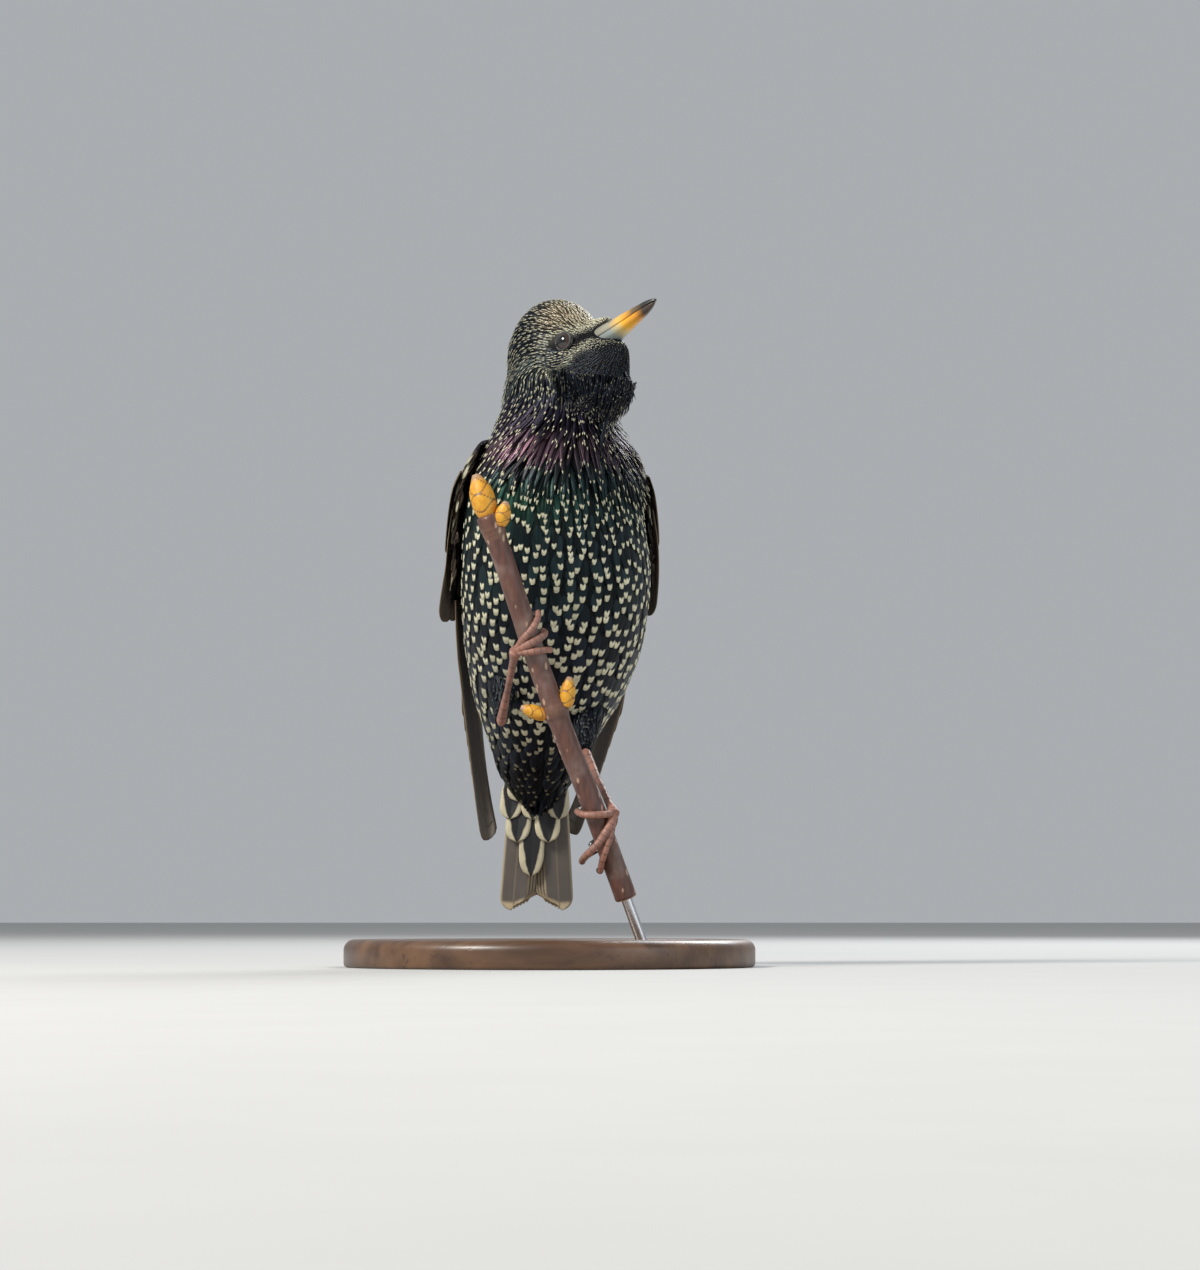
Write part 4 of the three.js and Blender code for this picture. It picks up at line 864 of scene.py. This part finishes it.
flight = Finish("flight_feathers", Specular_IOR_Level=0.45)
s_web, outer_face, from_shaft, ground, fringe = web_readings(flight)
hem = from_shaft.rise(0.62, 0.86)
hem_tip = s_web.rise(0.93, 0.985)
edge = hem + hem_tip - hem * hem_tip
shaft = from_shaft.rise(0.13, 0.04) * s_web.rise(0.99, 0.9)
barb = (s_web * 150 + from_shaft * 16).wave()
clouds = flight.noise(flight.place(), 160, 4)
grained = flight.mix(barb * 0.22 + clouds * 0.6, ground, BARB_BLACK)
edged = flight.mix(edge * (clouds * 0.5 + 0.62) * (outer_face * 0.3 + 0.7), grained, fringe)
shafted = flight.mix(shaft * 0.6, edged, SHAFT_BROWN)
flight.wear(
    Base_Color=flight.mix((1 - outer_face) * s_web.rise(0.3, 0.9) * 0.8, shafted, UNDER_GREY),
    Roughness=clouds * 0.2 + 0.34,
    height=barb * 0.02 + shaft * 0.10,
)
wing_beds = []
for side, wing in WINGS.items():
    sheets = []
    s, u = vane_grid(17, 7)
    for (group, many, root_along, root_across, tip_along, tip_across,
         half, level, tilt, flare) in WING_GROUPS:
        small = "covert" in group
        rounded = 0.94 if group == "primaries" else 0.86
        for k in range(many):
            t = k / max(many - 1, 1)
            along = np.interp(t, [0, 1], root_along) * (1 - s) + np.interp(t, [0, 1], tip_along) * s
            along = along + (0.006 * chance.normal() if small else 0) * s
            across = np.interp(t, [0, 1], root_across) * (1 - s) + np.interp(t, [0, 1], tip_across) * s
            blunt = rounded_end(s, rounded, 1 - rounded, 2)
            width = half * (0.55 + 0.45 * np.minimum(s / 0.3, 1)) * np.maximum(blunt, 0.08)
            span = np.linalg.norm(wing_place(wing, along, 0, 0) - wing_place(wing, along, 1, 0), axis=-1)
            sideways = u * width / np.maximum(span, 4)
            shingle = 0.08 * (k % 2) if small else 0.12 * k
            lift = level + shingle - 0.5 * (1 - np.minimum(s / 0.25, 1)) - tilt * u
            lift = lift + 0.25 * (1 - np.abs(u)) + flare * WING_FLARE[side] * (1 - across) * s**2
            outer, inner = (wing_place(wing, along, across + sideways, lift + d) for d in (0.12, -0.12))
            tone = np.array(WING_BROWN if small or group == "tertials" else WING_DARK)
            tone = tone * (0.85 + 0.35 * chance.random())
            hem_tone = np.array(BUFF) * (0.55 if small else 0.75) * (0.8 + 0.3 * chance.random())
            sheets.append((outer, inner, sheet_paint(u, s, tone, hem_tone)))
    build_sheets(f"wing_feathers_{side}", sheets, flight, [f"wing_{side}"])
    s, v = np.meshgrid(np.linspace(0, 1, BED_ROWS), np.linspace(-1, 1, 25), indexing="ij")
    rim = np.sqrt(np.clip(1 - v**4, 0, 1)) * np.minimum(s / 0.3, 1) ** 0.6
    bed, under_bed = (wing_place(wing, BED_REACH * s, 0.5 + 0.5 * v, height)
                      for height in (0.1 + (2.0 - 1.2 * s) * rim, -0.2))
    hull = np.concatenate([bed, under_bed[:, ::-1]], 1)
    build_skin(f"wing_shoulder_{side}", hull)
    away = np.cross(np.gradient(hull, axis=0), np.roll(hull, -1, 1) - np.roll(hull, 1, 1))
    away = unit(away * np.sign((away * (hull - hull.mean(1, keepdims=True))).sum(-1, keepdims=True)))
    shoulder_carpet = Carpet(hull, away)
    reach = np.broadcast_to(s[:, :1], hull.shape[:2])
    spacing = {"step": 2.3 + 0.6 * reach, "across": 2.7 + 0.6 * reach}
    row, column = rings_of_roots(shoulder_carpet, spacing, 0.3)
    chosen = row < COVERT_LAST_ROW
    row, column, many = row[chosen], column[chosen], int(chosen.sum())
    covert_size = {
        "length": 7.0 + 2 * row / BED_ROWS, "half": 1.75 + 0.4 * row / BED_ROWS,
        "lift": 0.25 + 0.25 * chance.random(many), "point": np.full(many, 0.35),
        "spot_half": 0.5 + 0.3 * chance.random(many), "spot_long": 2.5 + 2.5 * chance.random(many),
        "swing": chance.normal(0, 0.08, many), "sink": np.full(many, -0.3),
    }
    # The coverts share one brown: the right wing's face the key light and get the browner ground, the left's
    # the darker one, as painted light and shade.
    coat(f"coat_wing_{side}", shoulder_carpet, row, column, covert_size, pale=0.55,
         ground=WING_BROWN if side == "right" else WING_DARK)
    along, across = np.meshgrid(np.linspace(0.02, 0.8, 50), np.linspace(0.03, 0.97, 24), indexing="ij")
    wing_beds.append(wing_place(wing, along, across, 0).reshape(-1, 3))
wing_beds = np.concatenate(wing_beds)


# The tail: twelve blunt feathers that hang below the rump, grey-brown with pale hems, notched in the
# middle. Under their roots lie four tiers of black coverts with broad cream borders, on a dark pad.
TAIL_ROOT, TAIL_TIP = np.array([-3.6, 23.5, 66]), np.array([-4.5, 32.5, 16.6])
TAIL_GREY, TAIL_HEM, TAIL_SHAFT = (0.115, 0.100, 0.086), (0.58, 0.47, 0.30), (0.20, 0.16, 0.12)
TAIL_DARK, UNDERTAIL_BLACK, UNDERTAIL_CREAM = (0.040, 0.036, 0.034), (0.012, 0.013, 0.016), (0.66, 0.60, 0.42)
PAD_GREY = (0.1, 0.1, 0.1)
UNDERTAIL_ROWS = [  # tips' and roots' share of the tail, places sideways, half width and height
    (0.79, 0.30, (-1.8,), 3.8, 2.6), (0.58, 0.25, (-6.2, 3.2), 3.8, 3.1),
    (0.44, 0.15, (-8.4, -1.6, 6.4), 3.5, 3.7), (0.33, 0.08, (-6.0, 1.8), 3.6, 4.4),
]


def tail_place(along, aside, height):
    """A point of the tail: down its line, aside along X, and towards the breast by the height."""
    down = unit(TAIL_TIP - TAIL_ROOT)
    breastwards = unit(np.array([0, -1.0, 0]) + down * down[1])
    return (TAIL_ROOT + along[..., None] * (TAIL_TIP - TAIL_ROOT) + aside[..., None] * np.array([1.0, 0, 0])
            + (height - 0.012 * aside**2)[..., None] * breastwards)


s, u = vane_grid(26, 9)
sheets = []
for side in (-1, 1):
    for t in np.arange(6) / 5:
        root, tip = side * (0.6 + 3.0 * t), side * (2.2 + 4.8 * t)
        width = 4.3 * (0.5 + 0.5 * np.minimum(s / 0.4, 1)) * np.maximum(rounded_end(s, 0.9, 0.1, 2.6), 0.12)
        length = (0.955 + 0.045 * t) * s * (1 - 0.018 * (1 - side * u) * s)
        lift = -1.1 + 2.2 * t + (0.12 if side > 0 else 0) + 0.18 * side * u
        aside = root + (tip - root) * s + u * width
        outer = tail_place(length, aside, lift + 0.1 + 0.10 * bump_at(u, 0, 0.12))
        tone = np.array(TAIL_GREY) * (0.8 + 0.35 * chance.random())
        sheets.append((outer, tail_place(length, aside, lift - 0.14), sheet_paint(u, s, tone, TAIL_HEM)))
tail_finish = Finish("tail_feathers", Specular_IOR_Level=0.4)
s_web, _, from_shaft, ground, fringe = web_readings(tail_finish)
clouds = tail_finish.noise(tail_finish.place(), 180, 4)
hem = from_shaft.rise(0.80, 0.97) * 0.7
hem_tip = (s_web + from_shaft * 0.02).rise(0.955, 0.985)
barb = (s_web * 130 + from_shaft * 14).wave()
shaft = from_shaft.rise(0.11, 0.04)
webbed = tail_finish.mix(clouds * 0.5 + barb * 0.16, ground, TAIL_DARK)
hemmed = tail_finish.mix((hem + hem_tip - hem * hem_tip) * (clouds * 0.4 + 0.6), webbed, fringe)
tail_finish.wear(Base_Color=tail_finish.mix(shaft * 0.5, hemmed, TAIL_SHAFT),
                 Roughness=clouds * 0.2 + 0.4, height=barb * 0.02 + shaft * 0.08)
build_sheets("tail_feathers", sheets, tail_finish, ["tail"])

border = Finish("undertail_feathers", Specular_IOR_Level=0.4)
s_web, _, from_shaft, ground, fringe = web_readings(border)
wander = border.noise(border.place(), 420, 3)
edge = (from_shaft * 0.62 + s_web * 0.62 + wander * 0.12).rise(0.80, 0.90)
barb = (s_web * 60 + from_shaft * 10).wave()
border.wear(Base_Color=border.mix(edge * (wander * 0.3 + 0.75), ground, fringe),
            Roughness=wander * 0.2 + 0.42, height=barb * 0.02)
sheets = []
s, u = np.meshgrid(np.linspace(0, 1, 16), np.linspace(-1, 1, 9), indexing="ij")
for tip_along, root_along, asides, half, level in UNDERTAIL_ROWS:
    for k, aside in enumerate(asides):
        width = half * np.minimum(0.6 + s, 1) * np.maximum(rounded_end(s, 0.7, 0.3, 2.2), 0.06)
        along = root_along + (tip_along - root_along) * s
        lift = level + 0.1 * (k % 2) + 0.25 * (1 - u * u) * (1 - 0.5 * s)
        place = aside * (0.8 + 0.2 * s) + u * width
        cream = np.array(UNDERTAIL_CREAM) * (0.85 + 0.2 * chance.random())
        sheets.append((tail_place(along, place, lift + 0.1), tail_place(along, place, lift - 0.1),
                       sheet_paint(u, s, UNDERTAIL_BLACK, cream)))
build_sheets("undertail_vanes", sheets, border, ["undertail_coverts"])
s, v = np.meshgrid(np.linspace(0, 1, 10), np.linspace(-1, 1, 10), indexing="ij")
outer, inner = (tail_place(0.1 + 0.32 * s, v * (9 - 2 * s), height)
                for height in (4.2 - 1.9 * s, 2.05 + 0 * s))
pad = (outer, inner, sheet_paint(v * 0.2, 0 * s, UNDERTAIL_BLACK, PAD_GREY))
build_sheets("undertail_pad", [pad], border)


# The eyes: dark brown, wet and round, a third sunk in the face, each in a thin ring of bare grey skin.
EYE_RADIUS, EYE_FORWARD, EYE_UP, EYE_SIDE = 3.0, 4.6, 2.8, 7.7
IRIS_DARK, IRIS_BROWN = (0.020, 0.010, 0.006), (0.045, 0.022, 0.012)
IRIS_RIM, PUPIL = (0.012, 0.008, 0.007), (0.002, 0.002, 0.002)
LID_DARK, LID_GREY = (0.012, 0.012, 0.013), (0.045, 0.045, 0.044)
eye = Finish("eye", Coat_Weight=1.0, Coat_Roughness=0.02, Roughness=0.12, IOR=1.4)
look, _, _ = eye.painted("gaze")
fleck = eye.noise(eye.place(), 2400, 2)
iris = eye.mix(look.rise(0.50, 0.42), eye.mix(fleck, IRIS_DARK, IRIS_BROWN), IRIS_RIM)
eye.wear(Base_Color=eye.mix(look.rise(0.80, 0.84), iris, PUPIL))


def eye_seat(sign):
    """The centre of the right eye, for 1, or of the left, for -1, and the way it faces."""
    facing = unit(sign * HEAD_RIGHT + 0.16 * FORWARD + 0.05 * HEAD_UP)
    return head_place(EYE_FORWARD, EYE_UP, sign * EYE_SIDE), facing


def loop_faces(rows, columns):
    """Quads of a grid of points that closes on itself both ways."""
    i, j = np.mgrid[0:rows, 0:columns]
    k, m = (i + 1) % rows, (j + 1) % columns
    return [np.stack([i * columns + j, i * columns + m, k * columns + m, k * columns + j], -1).reshape(-1, 4)]


lid = Finish("eyelid", Roughness=0.5)
lid_grain = lid.noise(lid.place(), 1600, 3)
lid.wear(Base_Color=lid.mix(lid_grain, LID_DARK, LID_GREY), height=lid_grain * 0.12)
for name, sign in (("right", 1), ("left", -1)):
    centre, axis = eye_seat(sign)
    level = unit(FORWARD - axis * (FORWARD @ axis))
    upright = np.cross(axis, level)
    polar = np.linspace(0.03, np.pi - 0.03, 36)[:, None, None]
    turn = turns(44)[:, None]
    ball = centre + EYE_RADIUS * (np.cos(polar) * axis
                                  + np.sin(polar) * (np.cos(turn) * level + np.sin(turn) * upright))
    gaze = np.cos(polar) * np.ones((1, 44, 3))
    build_rings(f"eyeball_{name}", ball, eye, [f"eye_{name}"], {"gaze": gaze})
    tuck, girdle = turns(12)[:, None], turns(60)
    around = np.cos(girdle)[:, None] * level * 1.05 + np.sin(girdle)[:, None] * upright * 0.93
    thick = 0.42 + 0.05 * np.sin(girdle * 23)
    ring = (centre + 1.55 * axis + around[None] * (2.62 + thick * np.cos(tuck))[..., None]
            + (thick * np.sin(tuck))[..., None] * axis)
    build(f"eyelid_{name}", ring.transpose(1, 0, 2).reshape(-1, 3), loop_faces(60, 12), lid)


# The bill: two horn sheaths that meet along the mouth line, straight and sharp. The lower one is pale
# grey at its root, both turn yellow, and culmen and tip are dark. A slit nostril dents each side, darkened
# with painted shade.
BILL_ROOT_FORWARD, BILL_TIP_FORWARD, MOUTH_LINE_UP, MOUTH_LINE_RISE = 8.0, 35.8, 0.4, 2.3
CULMEN_BROWN, NOSTRIL_SHADE = (0.10, 0.075, 0.045), (0.01, 0.008, 0.007)
HORN_STOPS = [  # each sheath's colours from root to tip: the lower one's, then the upper one's
    [(0.0, (0.10, 0.11, 0.11)), (0.38, (0.24, 0.28, 0.27)), (0.50, (0.58, 0.44, 0.17)),
     (0.58, (0.80, 0.40, 0.025)), (0.74, (0.66, 0.27, 0.02)), (0.86, (0.05, 0.03, 0.02))],
    [(0.0, (0.10, 0.10, 0.09)), (0.36, (0.30, 0.29, 0.22)), (0.5, (0.70, 0.42, 0.09)),
     (0.58, (0.72, 0.33, 0.03)), (0.70, (0.16, 0.10, 0.04)), (0.84, (0.02, 0.018, 0.016))],
]
BILL_ROWS, BILL_COLUMNS = 60, 29
horn = Finish("bill_horn", Coat_Weight=0.25, Coat_Roughness=0.2, Specular_IOR_Level=0.5)
run, ridge_and_nostril_shade, upper_half = horn.painted("bill_marks")
ripple = horn.noise(horn.place(), 260, 3)
growth = horn.noise(horn.place(500, 500, 500), 1.0, 2)
place = run + ripple * 0.10 - 0.05
lower, upper = (horn.node("ValToRGB", {"stops": stops}, {0: place}) for stops in HORN_STOPS)
above = upper_half.rise(0.4, 0.6)
culmen = ridge_and_nostril_shade.rise(0.86, 1.0) * above * run.rise(0.2, 0.5)
horned = horn.mix(culmen * 0.75, horn.mix(above, lower, upper), CULMEN_BROWN)
# In the nostril's dent the colour goes near black: painted shade in the recess.
horn.wear(Base_Color=horn.mix(ridge_and_nostril_shade.rise(0.0, -0.5), horned, NOSTRIL_SHADE),
          Roughness=ripple * 0.2 + 0.25, height=growth * 0.03)


def bill_half(q):
    """Half the bill's width at a share of its length."""
    return 5.5 - 4.4 * q**0.72


def bill_depth(q, upper):
    """How far a sheath reaches from the mouth line at a share of the bill's length."""
    return np.where(upper, 4.6 - 3.25 * q, 3.0 - 1.8 * q)


for name, up in (("upper", 1), ("lower", -1)):
    q, a = np.meshgrid(np.linspace(0, 1, BILL_ROWS), np.linspace(0, np.pi, BILL_COLUMNS), indexing="ij")
    forward = BILL_ROOT_FORWARD + q * (BILL_TIP_FORWARD - (0 if up > 0 else 0.8) - BILL_ROOT_FORWARD)
    mouth = MOUTH_LINE_UP + MOUTH_LINE_RISE * q + up * 0.15
    point = np.maximum(rounded_end(q, 0.8, 0.205, 2.2), 0.03**0.5)
    rise = bill_depth(q, up > 0) * point * np.sin(a) ** 0.85
    dent = (up > 0) * bump_at(forward, 18.2, 1.5) * bump_at(np.abs(np.cos(a)), 0.66, 0.12)
    across = bill_half(q) * point * np.cos(a) * (1 - 0.10 * dent)
    curve = head_place(forward, mouth + up * rise * (1 - 0.12 * dent), across)
    flat = np.linspace(1, -1, 7)[None, 1:-1, None]
    close = curve[:, -1:] * (1 + flat) / 2 + curve[:, :1] * (1 - flat) / 2
    # The second mark is the sheath's rise round its section, sent below zero in the nostril's dent, where
    # painted shade is laid.
    paint = layers(q, np.sin(a) - 2.2 * (dent > 0.55), float(up > 0))
    paint = np.concatenate([paint, np.repeat(paint[:, :1], 5, 1)], 1)
    build_rings(f"bill_sheath_{name}", np.concatenate([curve, close], 1), horn,
                [f"bill_{name}"], {"bill_marks": paint})


# The coat is laid now that wings, eyes and bill have their places: vanes rooted under them are left out.
# Throat hackles stand off as a beard, the nape's are ruffled, and the belly's are broad shields.
BED_CLEARANCE, EYE_CLEARANCE, EYE_RIM = 3.3, 2.5, 2.3
FACE_REACH, HEAD_REACH, RUFF_REACH = 15, 32, 62
coat_size = sizes_at(from_bill(body_carpet.read(body_carpet.points, coat_row, coat_column)))
shaft_rows = coat_size["length"] / body_carpet.paces(coat_row, coat_column)[0]
track = [body_carpet.read(body_carpet.points, coat_row + share * shaft_rows, coat_column)
         for share in (0, 0.35, 0.7, 1)]
root = track[0]
facing = outwards(root)
forward, up, _ = head_frame(root)


def within_bill(p, spare):
    """Whether points lie inside the bill's sheaths, grown by the spare millimetres."""
    ahead, high, aside = head_frame(p)
    q = np.clip((ahead - BILL_ROOT_FORWARD) / (BILL_TIP_FORWARD - BILL_ROOT_FORWARD), 0, 1)
    above = high - MOUTH_LINE_UP - MOUTH_LINE_RISE * q
    outside = np.hypot(aside / (bill_half(q) + spare), above / (bill_depth(q, above > 0) + spare))
    return (ahead > BILL_ROOT_FORWARD) & (outside < 1)


def nearest(points, others):
    """Each point's distance to the nearest of the others, from the sums of squares, in blocks."""
    blocks = [np.sqrt(np.maximum((b**2).sum(1)[:, None] + (others**2).sum(1) - 2 * b @ others.T, 0)).min(1)
              for b in np.array_split(points, max(len(points) // 2000, 1))]
    return np.concatenate(blocks)


kept = (nearest(root, wing_beds) > BED_CLEARANCE) & ~within_bill(track[1], 0.2)
for sign in (1, -1):
    centre, axis = eye_seat(sign)
    rim = centre + EYE_RIM * axis
    kept &= np.min([np.linalg.norm(p - rim, axis=-1) for p in track], axis=0) > EYE_CLEARANCE
beard = soft(-up, 8, 13) * soft(facing @ unit(FORWARD * [1, 1, 0]), 0.1, 0.7) * soft(root[:, 2], 138, 150)
nape = soft(-forward, 6, 14) * soft(-(facing @ FORWARD), 0.0, 0.5) * soft(root[:, 2], 150, 160)
many = len(coat_row)
coat_size["lift"] += 3.0 * beard * chance.uniform(0.2, 1.2, many)
coat_size["lift"] += 0.9 * nape * chance.random(many)
coat_size["length"] *= (1 + 0.7 * beard) * chance.uniform(0.9, 1.1, many)
coat_size["point"] = np.maximum(coat_size["point"], beard)
coat_size["swing"] = chance.normal(0, 0.09, many)
coat_size["sink"] = np.full(many, -0.45)
reach = from_bill(root)
breastwards = root[:, 1] < np.interp(root[:, 2], TORSO_SECTIONS[:, 0], TORSO_SECTIONS[:, 2])
COAT_PIECES = {
    "coat_face": reach < FACE_REACH, "coat_head": (reach >= FACE_REACH) & (reach < HEAD_REACH),
    "coat_ruff": (reach >= HEAD_REACH) & (reach < RUFF_REACH),
    "coat_breast": (reach >= RUFF_REACH) & breastwards, "coat_back": (reach >= RUFF_REACH) & ~breastwards,
}
for name, within in COAT_PIECES.items():
    chosen = kept & within
    chosen_size = {key: values[chosen] for key, values in coat_size.items()}
    coat(name, body_carpet, coat_row[chosen], coat_column[chosen], chosen_size)

for side, rings in thigh_skins.items():
    axis = unit(rings[-1].mean(0) - rings[0].mean(0))
    spokes = rings - rings.mean(1, keepdims=True)
    thigh_carpet = Carpet(rings, unit(spokes - (spokes @ axis)[..., None] * axis))
    row, column = np.meshgrid(np.arange(1, 27, 2.6), np.arange(0, 36, 2.25), indexing="ij")
    column = column + 1.1 * (np.arange(len(row)) % 2)[:, None] + chance.uniform(-0.5, 0.5, column.shape)
    row, column, many = row.ravel(), column.ravel(), row.size
    thigh_size = {
        "length": np.interp(row, [0, 26], [6.5, 3.6]), "half": np.interp(row, [0, 26], [1.3, 0.7]),
        "lift": np.full(many, 0.35), "point": np.full(many, 0.6), "spot_half": np.full(many, 0.4),
        "spot_long": np.full(many, 0.8), "swing": chance.normal(0, 0.15, many), "sink": np.full(many, -0.4),
    }
    coat(f"coat_thigh_{side}", thigh_carpet, row, column, thigh_size, pale=0.06)


# The legs and feet: bare, pinkish brown and scaly. Broad shields overlap down the front of the shank
# and over each toe. Three toes reach over the twig, one under it, each with a curved black claw.
TOE_GAP, PALM_RADIUS, ANKLE_UP, CLAW_REACH = 0.35, 1.6, 2.4, 6.0
LEG_PINK, LEG_BROWN, CREASE_BROWN = (0.33, 0.150, 0.105), (0.21, 0.105, 0.080), (0.060, 0.034, 0.030)
CELL_BROWN, CLAW_BLACK, CLAW_BROWN = (0.10, 0.06, 0.05), (0.012, 0.010, 0.010), (0.045, 0.034, 0.028)
TOES = {  # which way round the twig, reach, drift along it, radius, and how far the toe stands off it
    "right": {"inner": (-1, 14, 0.022, 1.15, 0), "middle": (-1, 16.5, -0.02, 1.22, 0),
              "outer": (-1, 14, -0.062, 1.1, 0), "hind": (1, 10, -0.008, 1.22, 0)},
    "left": {"inner": (1, 13.5, -0.03, 1.15, 0), "middle": (1, 18.5, 0.075, 1.22, 3.6),
             "outer": (1, 12, 0.105, 1.1, 0), "hind": (-1, 11, 0.05, 1.22, 1.2)},
}
leg_skin = Finish("leg_skin", Specular_IOR_Level=0.5)
shield, _, under = leg_skin.painted("scale_marks")
rough_skin = leg_skin.noise(leg_skin.place(), 900, 3)
voronoi = {"Vector": leg_skin.place(), "Scale": 1500.0}
cells = leg_skin.node("TexVoronoi", {"feature": "DISTANCE_TO_EDGE"}, voronoi).rise(0.0, 0.12)
tint = leg_skin.mix(leg_skin.noise(leg_skin.place(), 170, 3).rise(0.3, 0.7), LEG_PINK, LEG_BROWN)
creased = leg_skin.mix(shield * 0.75, tint, CREASE_BROWN)
leg_skin.wear(Base_Color=leg_skin.mix((1 - cells) * under * 0.5, creased, CELL_BROWN),
              Roughness=rough_skin * 0.2 + 0.36, height=cells * 0.05 * under + rough_skin * 0.03)
claw_horn = Finish("claw_horn", Coat_Weight=0.3, Coat_Roughness=0.2)
grain = claw_horn.noise(claw_horn.place(), 700, 3)
claw_horn.wear(Base_Color=claw_horn.mix(grain, CLAW_BLACK, CLAW_BROWN),
               Roughness=grain * 0.2 + 0.25, height=grain * 0.02)


def toe_line(grip, toe, s):
    """Points of a toe's middle line wrapped round the twig: a share past 1 runs on into the claw."""
    turn, reach, drift, radius, stand = toe
    t = grip[0] + drift * np.minimum(1.25 * s, 1.15)
    out = twig_radius(t) + TOE_GAP + radius
    rise = stand * np.sin(np.pi * np.clip((s - 0.45) / 1.1, 0, 1)) ** 1.2
    return twig_place(t, grip[1] + turn * reach * s / (out + 0.35 * stand), out + rise)


def limb(line, radius, shields, sides=24, squash=None):
    """A scaly tube: the radius steps up along each shield and falls at its edge. With its marks."""
    q = np.linspace(0, 1, len(radius))
    phase = (q * shields) % 1
    rings = tube(line, even(line), q, (radius + 0.06 * phase - 0.03)[:, None], sides, squash)
    crease = np.clip(1 - np.minimum(phase, 1 - phase) / 0.10, 0, 1) * (q > 0.02) * (q < 0.99)
    marks = layers(crease[:, None], q[:, None], 0.5 + 0 * rings[..., 0])
    return with_ends(rings), ring_faces(*rings.shape[:2]), with_ends(marks)


def build_limbs(name, limbs, replaces):
    """Several scaly tubes as one mesh."""
    starts = np.cumsum([0] + [len(points) for points, _, _ in limbs])
    faces = [f + start for (_, group, _), start in zip(limbs, starts) for f in group]
    points, marks = (np.concatenate([limb[part] for limb in limbs]) for part in (0, 2))
    build(name, points, faces, leg_skin, replaces, {"scale_marks": marks})


for side, leg in LEGS.items():
    grip, heel = leg["grip"], np.array(leg["heel"], float)
    hub = twig_place(*grip, twig_radius(grip[0]) + TOE_GAP + PALM_RADIUS)
    downward = unit(hub - heel)
    ankle = hub - ANKLE_UP * downward
    q = np.linspace(0, 1, 200)
    shank_line = heel + q[:, None] * (ankle - heel)
    shank = np.interp(q, [0, 0.04, 0.12, 0.5, 0.9, 1], [1.25, 1.6, 1.5, 1.0, 1.2, 1.35])
    build_limbs(f"shank_{side}", [limb(shank_line, shank, 8, 28, (0.92, 1.05))], [f"tarsus_{side}"])
    s = np.linspace(0, 1, 150)
    palm_line = ankle + np.linspace(0, 1, 24)[:, None] * (hub - ankle) * 1.15
    palm = np.interp(np.linspace(0, 1, 30), [0, 0.5, 0.9, 1], [1.5, 1.75, 1.7, 1.1])
    limbs = [limb(palm_line, palm, 2)]
    for digit, toe in TOES[side].items():
        _, reach, _, radius, _ = toe
        pads = 0.10 * np.cos(2 * np.pi * s * (2 if digit in ("hind", "inner") else 3)) * (s > 0.1)
        blunt = 0.5 * radius * np.clip((s - 0.95) / 0.05, 0, 1) ** 2
        girth = radius * (1 - 0.22 * s) + pads * (1 - s) - blunt
        girth = np.minimum(girth, radius * (1 - 0.2 * s) + 0.06)
        limbs.append(limb(toe_line(grip, toe, np.linspace(0, 1.0, 80)), girth, int(reach / 1.5)))
        hook = toe_line(grip, toe, np.linspace(0.95, 1 + CLAW_REACH / reach, 40))
        k = np.linspace(0, 1, 44)
        claw = tube(hook, even(hook), k, (0.88 * (1 - k) ** 0.75 + 0.10)[:, None], 20)
        build_rings(f"claw_{side}_{digit}_horn", claw, claw_horn, [f"claw_{side}_{digit}"])
    build_limbs(f"toes_{side}", limbs, [f"foot_{side}"])


# The floor, the light and the camera: a pale sheet to stand on, a broad soft light high on the left,
# a weaker one on the right and one behind, and a long lens set low in front.
FLOOR_GREY, FLOOR_PALE, SKY = (0.50, 0.50, 0.49), (0.54, 0.54, 0.53), (0.80, 0.84, 0.88, 1)
SKY_STRENGTH, LENS_LENGTH, MIDDLE = 0.5, 96.70, (0, 0, 0.1)
EYE_POINT, AIM_POINT = (0.014706, -1.0, 0.015), (0.014706, 0, 0.097176)
floor_finish = Finish("floor", Roughness=0.9)
speck = floor_finish.noise(floor_finish.place(), 30, 3)
floor_finish.wear(Base_Color=floor_finish.mix(speck, FLOOR_GREY, FLOOR_PALE))
floor_mesh = bpy.data.meshes.new("floor")
floor_mesh.from_pydata([(-6, -6, 0), (6, -6, 0), (6, 6, 0), (-6, 6, 0)], [], [(0, 1, 2, 3)])
floor_mesh.materials.append(floor_finish.material)
floor = bpy.data.objects.new("floor", floor_mesh)
bpy.context.collection.objects.link(floor)


def aim(thing, place, target):
    """Puts a light or camera at a place, with its -Z axis towards the target and Y upwards."""
    thing.location = place
    thing.rotation_euler = (Vector(target) - Vector(place)).to_track_quat("-Z", "Y").to_euler()


LIGHTS = [  # name, place, width, power and colour
    ("key", (-0.85, -0.75, 0.95), 0.35, 24.0, (1.0, 0.96, 0.90)),
    ("fill", (1.0, -0.75, 0.35), 0.9, 4.0, (0.90, 0.95, 1.0)),
    ("rim", (0.45, 0.9, 0.8), 0.5, 9.0, (0.95, 0.97, 1.0)),
]
for name, place, width, power, colour in LIGHTS:
    lamp = bpy.data.lights.new(name, "AREA")
    lamp.size, lamp.energy, lamp.color = width, power, colour
    light = bpy.data.objects.new(name, lamp)
    bpy.context.collection.objects.link(light)
    aim(light, place, MIDDLE)
world = bpy.data.worlds.new("room")
world.use_nodes = True
sky = world.node_tree.nodes["Background"]
sky.inputs["Color"].default_value = SKY
sky.inputs["Strength"].default_value = SKY_STRENGTH
bpy.context.scene.world = world
bpy.context.scene.view_settings.view_transform = "Standard"

lens = bpy.data.cameras.new("camera")
lens.sensor_fit, lens.sensor_height, lens.lens = "VERTICAL", 36, LENS_LENGTH
camera = bpy.data.objects.new("camera", lens)
bpy.context.collection.objects.link(camera)
aim(camera, EYE_POINT, AIM_POINT)
bpy.context.scene.camera = camera
